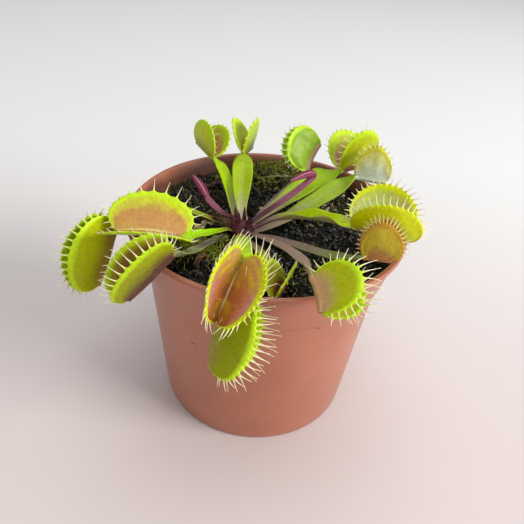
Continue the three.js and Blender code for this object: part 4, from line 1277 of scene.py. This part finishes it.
# Colour by the tone that each small piece carries, from the first to the last of the given colours.
def litterMaterial(name, colours, rough, **constants):
    material, tree, shader = newMaterial(name, **constants)
    grain = noise(tree, place(tree), litter["grain"])
    tone = plus(tree, attribute(tree, "tone"), smoothMask(tree, grain, 0.3, 0.7, -0.12, 0.12))
    base = linear(colours[0])
    step = 1 / (len(colours) - 1)
    for k, colour in enumerate(colours[1:]):
        base = mixColour(tree, smoothMask(tree, tone, k * step, (k + 1) * step), base, linear(colour))
    tree.links.new(base, shader.inputs["Base Color"])
    tree.links.new(smoothMask(tree, grain, 0.3, 0.7, *rough), shader.inputs["Roughness"])
    bumpInto(tree, shader, grain, 0.1 * mm, 0.6)
    return material


def makeLitter():
    crumb = litterMaterial("peat_crumb", litterColours["crumbs"], (0.16, 0.6))
    fibre = litterMaterial("peat_fibre", litterColours["fibres"], (0.5, 0.8))
    flake = litterMaterial("bark_flake", litterColours["flakes"], (0.5, 0.8))
    moss = litterMaterial("moss", litterColours["moss"], (0.45, 0.7), Subsurface_Weight=0.1,
                          Subsurface_Radius=(0.6, 1.0, 0.3), Subsurface_Scale=0.0005)
    putMesh("peat_crumbs", [scatter(litter["crumbs"], small=True)], crumb, "peat")
    putMesh("peat_fibres", [makeFibres(litter["fibres"])], fibre, "peat")
    putMesh("bark_flakes", [scatter(litter["flakes"], flat=True)], flake, "peat")
    for k, patch in enumerate(mossPatches):
        putMesh("moss_%d" % (k + 1), [makeMoss(patch, 60 + k)], moss, "peat")
    cushions = scatter(litter["cushions"])
    cushions["marks"]["tone"] = cushions["marks"]["tone"] * litter["cushions"]["tone"]
    putMesh("moss_cushions", [cushions], moss, "peat")


makeLitter()
print("litter and moss made")


# dead leaves

# each has a path, its half width, how far its edges curl up, how strongly it is crumpled, and a tone
dryLeaves = (
    dict(path=[(-11.4, -4.4, 68.2), (-14, -4.6, 70.6), (-17, -2.6, 70.2), (-20, -1.2, 67.6)],
         half=1.5, curl=1.3, crumple=0.35, tone=0.35),
    dict(path=[(-17, -2, 67.4), (-19.5, -3.6, 68.6), (-21, -6, 67.6), (-23.6, -6.8, 66.4)],
         half=1.3, curl=0.8, crumple=0.7, tone=0.8),
    dict(path=[(-16, -20, 66.2), (-18.5, -21, 68), (-20, -23.4, 67.6), (-19.4, -26, 66.2)],
         half=1.4, curl=1.1, crumple=0.7, tone=0.36),
    dict(path=[(-25, 20, 66.4), (-21, 23, 67.6), (-18, 27, 67.2), (-14, 29, 67.0)],
         half=1.1, curl=1.0, crumple=0.5, tone=0.2),
    dict(path=[(-4, 29, 68.6), (2, 31, 70.2), (7, 30, 70), (12, 32.4, 69)],
         half=0.5, curl=0.6, crumple=0.4, tone=0.9),
)
dryShape = dict(stations=40, corners=15, half=0.09)  # half: of its thickness


# A thin strip along the path: its cross-section is an arc of the curl angle, shifted by random creases
# that grow towards its two edges, and its half width falls to a point at either end.
def makeDryLeaf(spec, seed):
    s = np.linspace(0, 1, dryShape["stations"])
    u = np.linspace(-1, 1, dryShape["corners"])[None]
    centre = curvePoint(spec["path"], s)
    half = spec["half"] * np.clip(np.sin(np.pi * (0.06 + 0.88 * s)), 0, 1)[:, None] ** 0.6
    ahead = unit(np.gradient(centre, axis=0))
    across = unit(np.cross(ahead, (0, 0, 1)))
    normal = np.cross(across, ahead)
    crease = spec["crumple"] * ridges(s[:, None] * 9, u * 2, 1.0, seed) * (0.4 + np.abs(u))
    reach = half * np.sin(spec["curl"] * u) / spec["curl"] * (1 + 0.25 * crease)
    lift = half * (1 - np.cos(spec["curl"] * u)) / spec["curl"] + crease
    wide = np.concatenate([reach, reach[:, ::-1]], axis=1)
    high = np.concatenate([lift + dryShape["half"], lift[:, ::-1] - dryShape["half"]], axis=1)
    ring = centre[:, None] + wide[..., None] * across[:, None] + high[..., None] * normal[:, None]
    return tubes(ring[None], tone=spec["tone"])


dryTissue = litterMaterial("dry_leaf", litterColours["dryLeaf"], (0.5, 0.75))
putMesh("dead_leaves", [makeDryLeaf(spec, 80 + k) for k, spec in enumerate(dryLeaves)], dryTissue, "peat")
print("dead leaves made")


# crown

crownBody = dict(
    profile=[(0, 58), (2.6, 58), (4.1, 60), (4.4, 63), (4.3, 65.4), (3.9, 66.8), (3.3, 67.8), (2.6, 68.6),
             (1.9, 69.1), (1.3, 69.5), (0.7, 69.7), (0, 69.8)],
    finer=4, sides=72,  # finer: steps between two points of the profile
)
# short new shoots: foot, head and radius
shoots = dict(
    stations=16, corners=14, runs=(0, 0.45, 0.8, 1), sizes=(1, 1.1, 0.65, 0.15), flat=0.6,
    places=[((-10.2, -4.8, 66.5), (-11.6, -4.2, 72.4), 0.55), ((-8.6, -4.6, 66.5), (-9, -3.4, 72.8), 0.5),
            ((-6.6, -5.2, 66.5), (-6.4, -6, 70.6), 0.5), ((-9.6, -1.0, 66.5), (-10.8, 0.6, 72.6), 0.6),
            ((-7.4, -0.8, 66.5), (-7.6, 0.6, 72.8), 0.6), ((-5.6, -2.2, 66.5), (-4.6, -1.8, 70.4), 0.5)],
)


# A body of revolution whose radius swells with a wave of five round it and with random height.
def makeCrownBody():
    g = crownBody
    profile = np.array(g["profile"])
    last = len(profile) - 1
    where = np.linspace(0, last, last * g["finer"] + 1)
    fine = np.stack([np.interp(where, np.arange(last + 1), profile[:, k]) for k in (0, 1)], -1)
    body = spin(fine, g["sides"])
    q = body["points"]
    around, lift = np.arctan2(q[:, 1], q[:, 0]), q[:, 2]
    swell = 1 - 0.03 * (1 + np.sin(5 * around + lift)) + 0.05 * ridges(around * 3, lift, 1.2, 31)
    q[:, :2] = q[:, :2] * swell[:, None] + np.array(crown["place"])
    n = len(q)
    body["marks"] = dict(share=np.full(n, 0.3), run=np.clip((lift - 66) / 8, 0, 1),
                         inside=np.zeros(n), organ=np.zeros(n))
    return body


# A pointed shoot: an ellipse with a slit in one side, carried along a straight line.
def makeShoot(foot, head, radius):
    g = shoots
    foot, head = np.array(foot), np.array(head)
    s, around = np.linspace(0, 1, g["stations"]), roundAngles(g["corners"])
    axis = unit(head - foot)
    across = unit(np.cross(axis, (0, 1, 0)))
    along = np.cross(across, axis)
    size = radius * np.interp(s, g["runs"], g["sizes"])
    size = size[:, None] * (1 - 0.25 * np.exp(-((around - 4.4) / 0.35) ** 2))[None]
    ring = (foot + (head - foot) * s[:, None])[:, None] + (size * np.cos(around))[..., None] * across
    ring = ring + (g["flat"] * size * np.sin(around))[..., None] * along
    return tubes(ring[None], share=0.3, run=s[None, :, None], inside=0.0, organ=0.0)


def makeCrown():
    shells = [makeCrownBody()] + [makeShoot(*shoot) for shoot in shoots["places"]]
    colours = dict(root=crown["root"], base=crown["root"], blade=crown["tip"], under=crown["tip"],
                   greenFrom=0.55)
    material = tissueMaterial("crown_tissue", colours)
    return putMesh("crown_fine", shells, material, "crown_tissue", "crown")


makeCrown()
print("crown made")


# camera, light and floor made from their dictionaries

# The view: turned up from straight down by its tilt, then rolled about its own axis.
def makeCamera():
    tilt, roll = np.radians(camera["tilt"]), np.radians(camera["roll"])
    back = np.array([0, -np.cos(tilt), np.sin(tilt)])
    right, up = np.array([1.0, 0, 0]), np.cross(back, [1.0, 0, 0])
    right, up = np.cos(roll) * right + np.sin(roll) * up, np.cos(roll) * up - np.sin(roll) * right
    eye = addObject("camera", bpy.data.cameras.new("camera"))
    turn = Matrix([(right[k], up[k], back[k]) for k in range(3)]).to_4x4()
    eye.matrix_world = Matrix.Translation(Vector(camera["position"]) * mm) @ turn
    eye.data.lens = camera["lens"]
    eye.data.sensor_width = camera["sensor"]
    eye.data.clip_start, eye.data.clip_end = 0.005, 20
    bpy.context.scene.camera = eye


def makeLights():
    for name, light in lights.items():
        lamp = bpy.data.lights.new(name, "AREA")
        lamp.shape = "RECTANGLE"
        lamp.size, lamp.size_y = (v * mm for v in light["size"])
        lamp.energy = light["power"]
        lamp.color = light["colour"]
        piece = addObject(name, lamp)
        spot, aim = Vector(light["place"]) * mm, Vector(light["aim"]) * mm
        piece.location = spot
        piece.rotation_euler = (aim - spot).to_track_quat("-Z", "Y").to_euler()
    world = bpy.data.worlds.new("sky")
    bpy.context.scene.world = world
    world.use_nodes = True
    air = world.node_tree.nodes["Background"]
    air.inputs["Color"].default_value = (*sky["colour"], 1)
    air.inputs["Strength"].default_value = sky["strength"]


def makeFloor():
    material, tree, shader = newMaterial("pale_floor", Roughness=0.9, Specular_IOR_Level=0.2)
    away = addNode(tree, "ShaderNodeSeparateXYZ", {0: place(tree)}).outputs[1]
    low, high = (y * mm for y in floor["blend"])
    tone = mixColour(tree, smoothMask(tree, away, low, high), linear(floor["near"]), linear(floor["far"]))
    tree.links.new(tone, shader.inputs["Base Color"])
    r = floor["reach"] * mm
    mesh = bpy.data.meshes.new("floor")
    mesh.from_pydata([(-r, -r, 0), (r, -r, 0), (r, r, 0), (-r, r, 0)], [], [(0, 1, 2, 3)])
    mesh.materials.append(material)
    addObject("floor", mesh)


bpy.context.scene.view_settings.view_transform = "Standard"
makeCamera()
makeLights()
makeFloor()
print("camera, light and floor made")
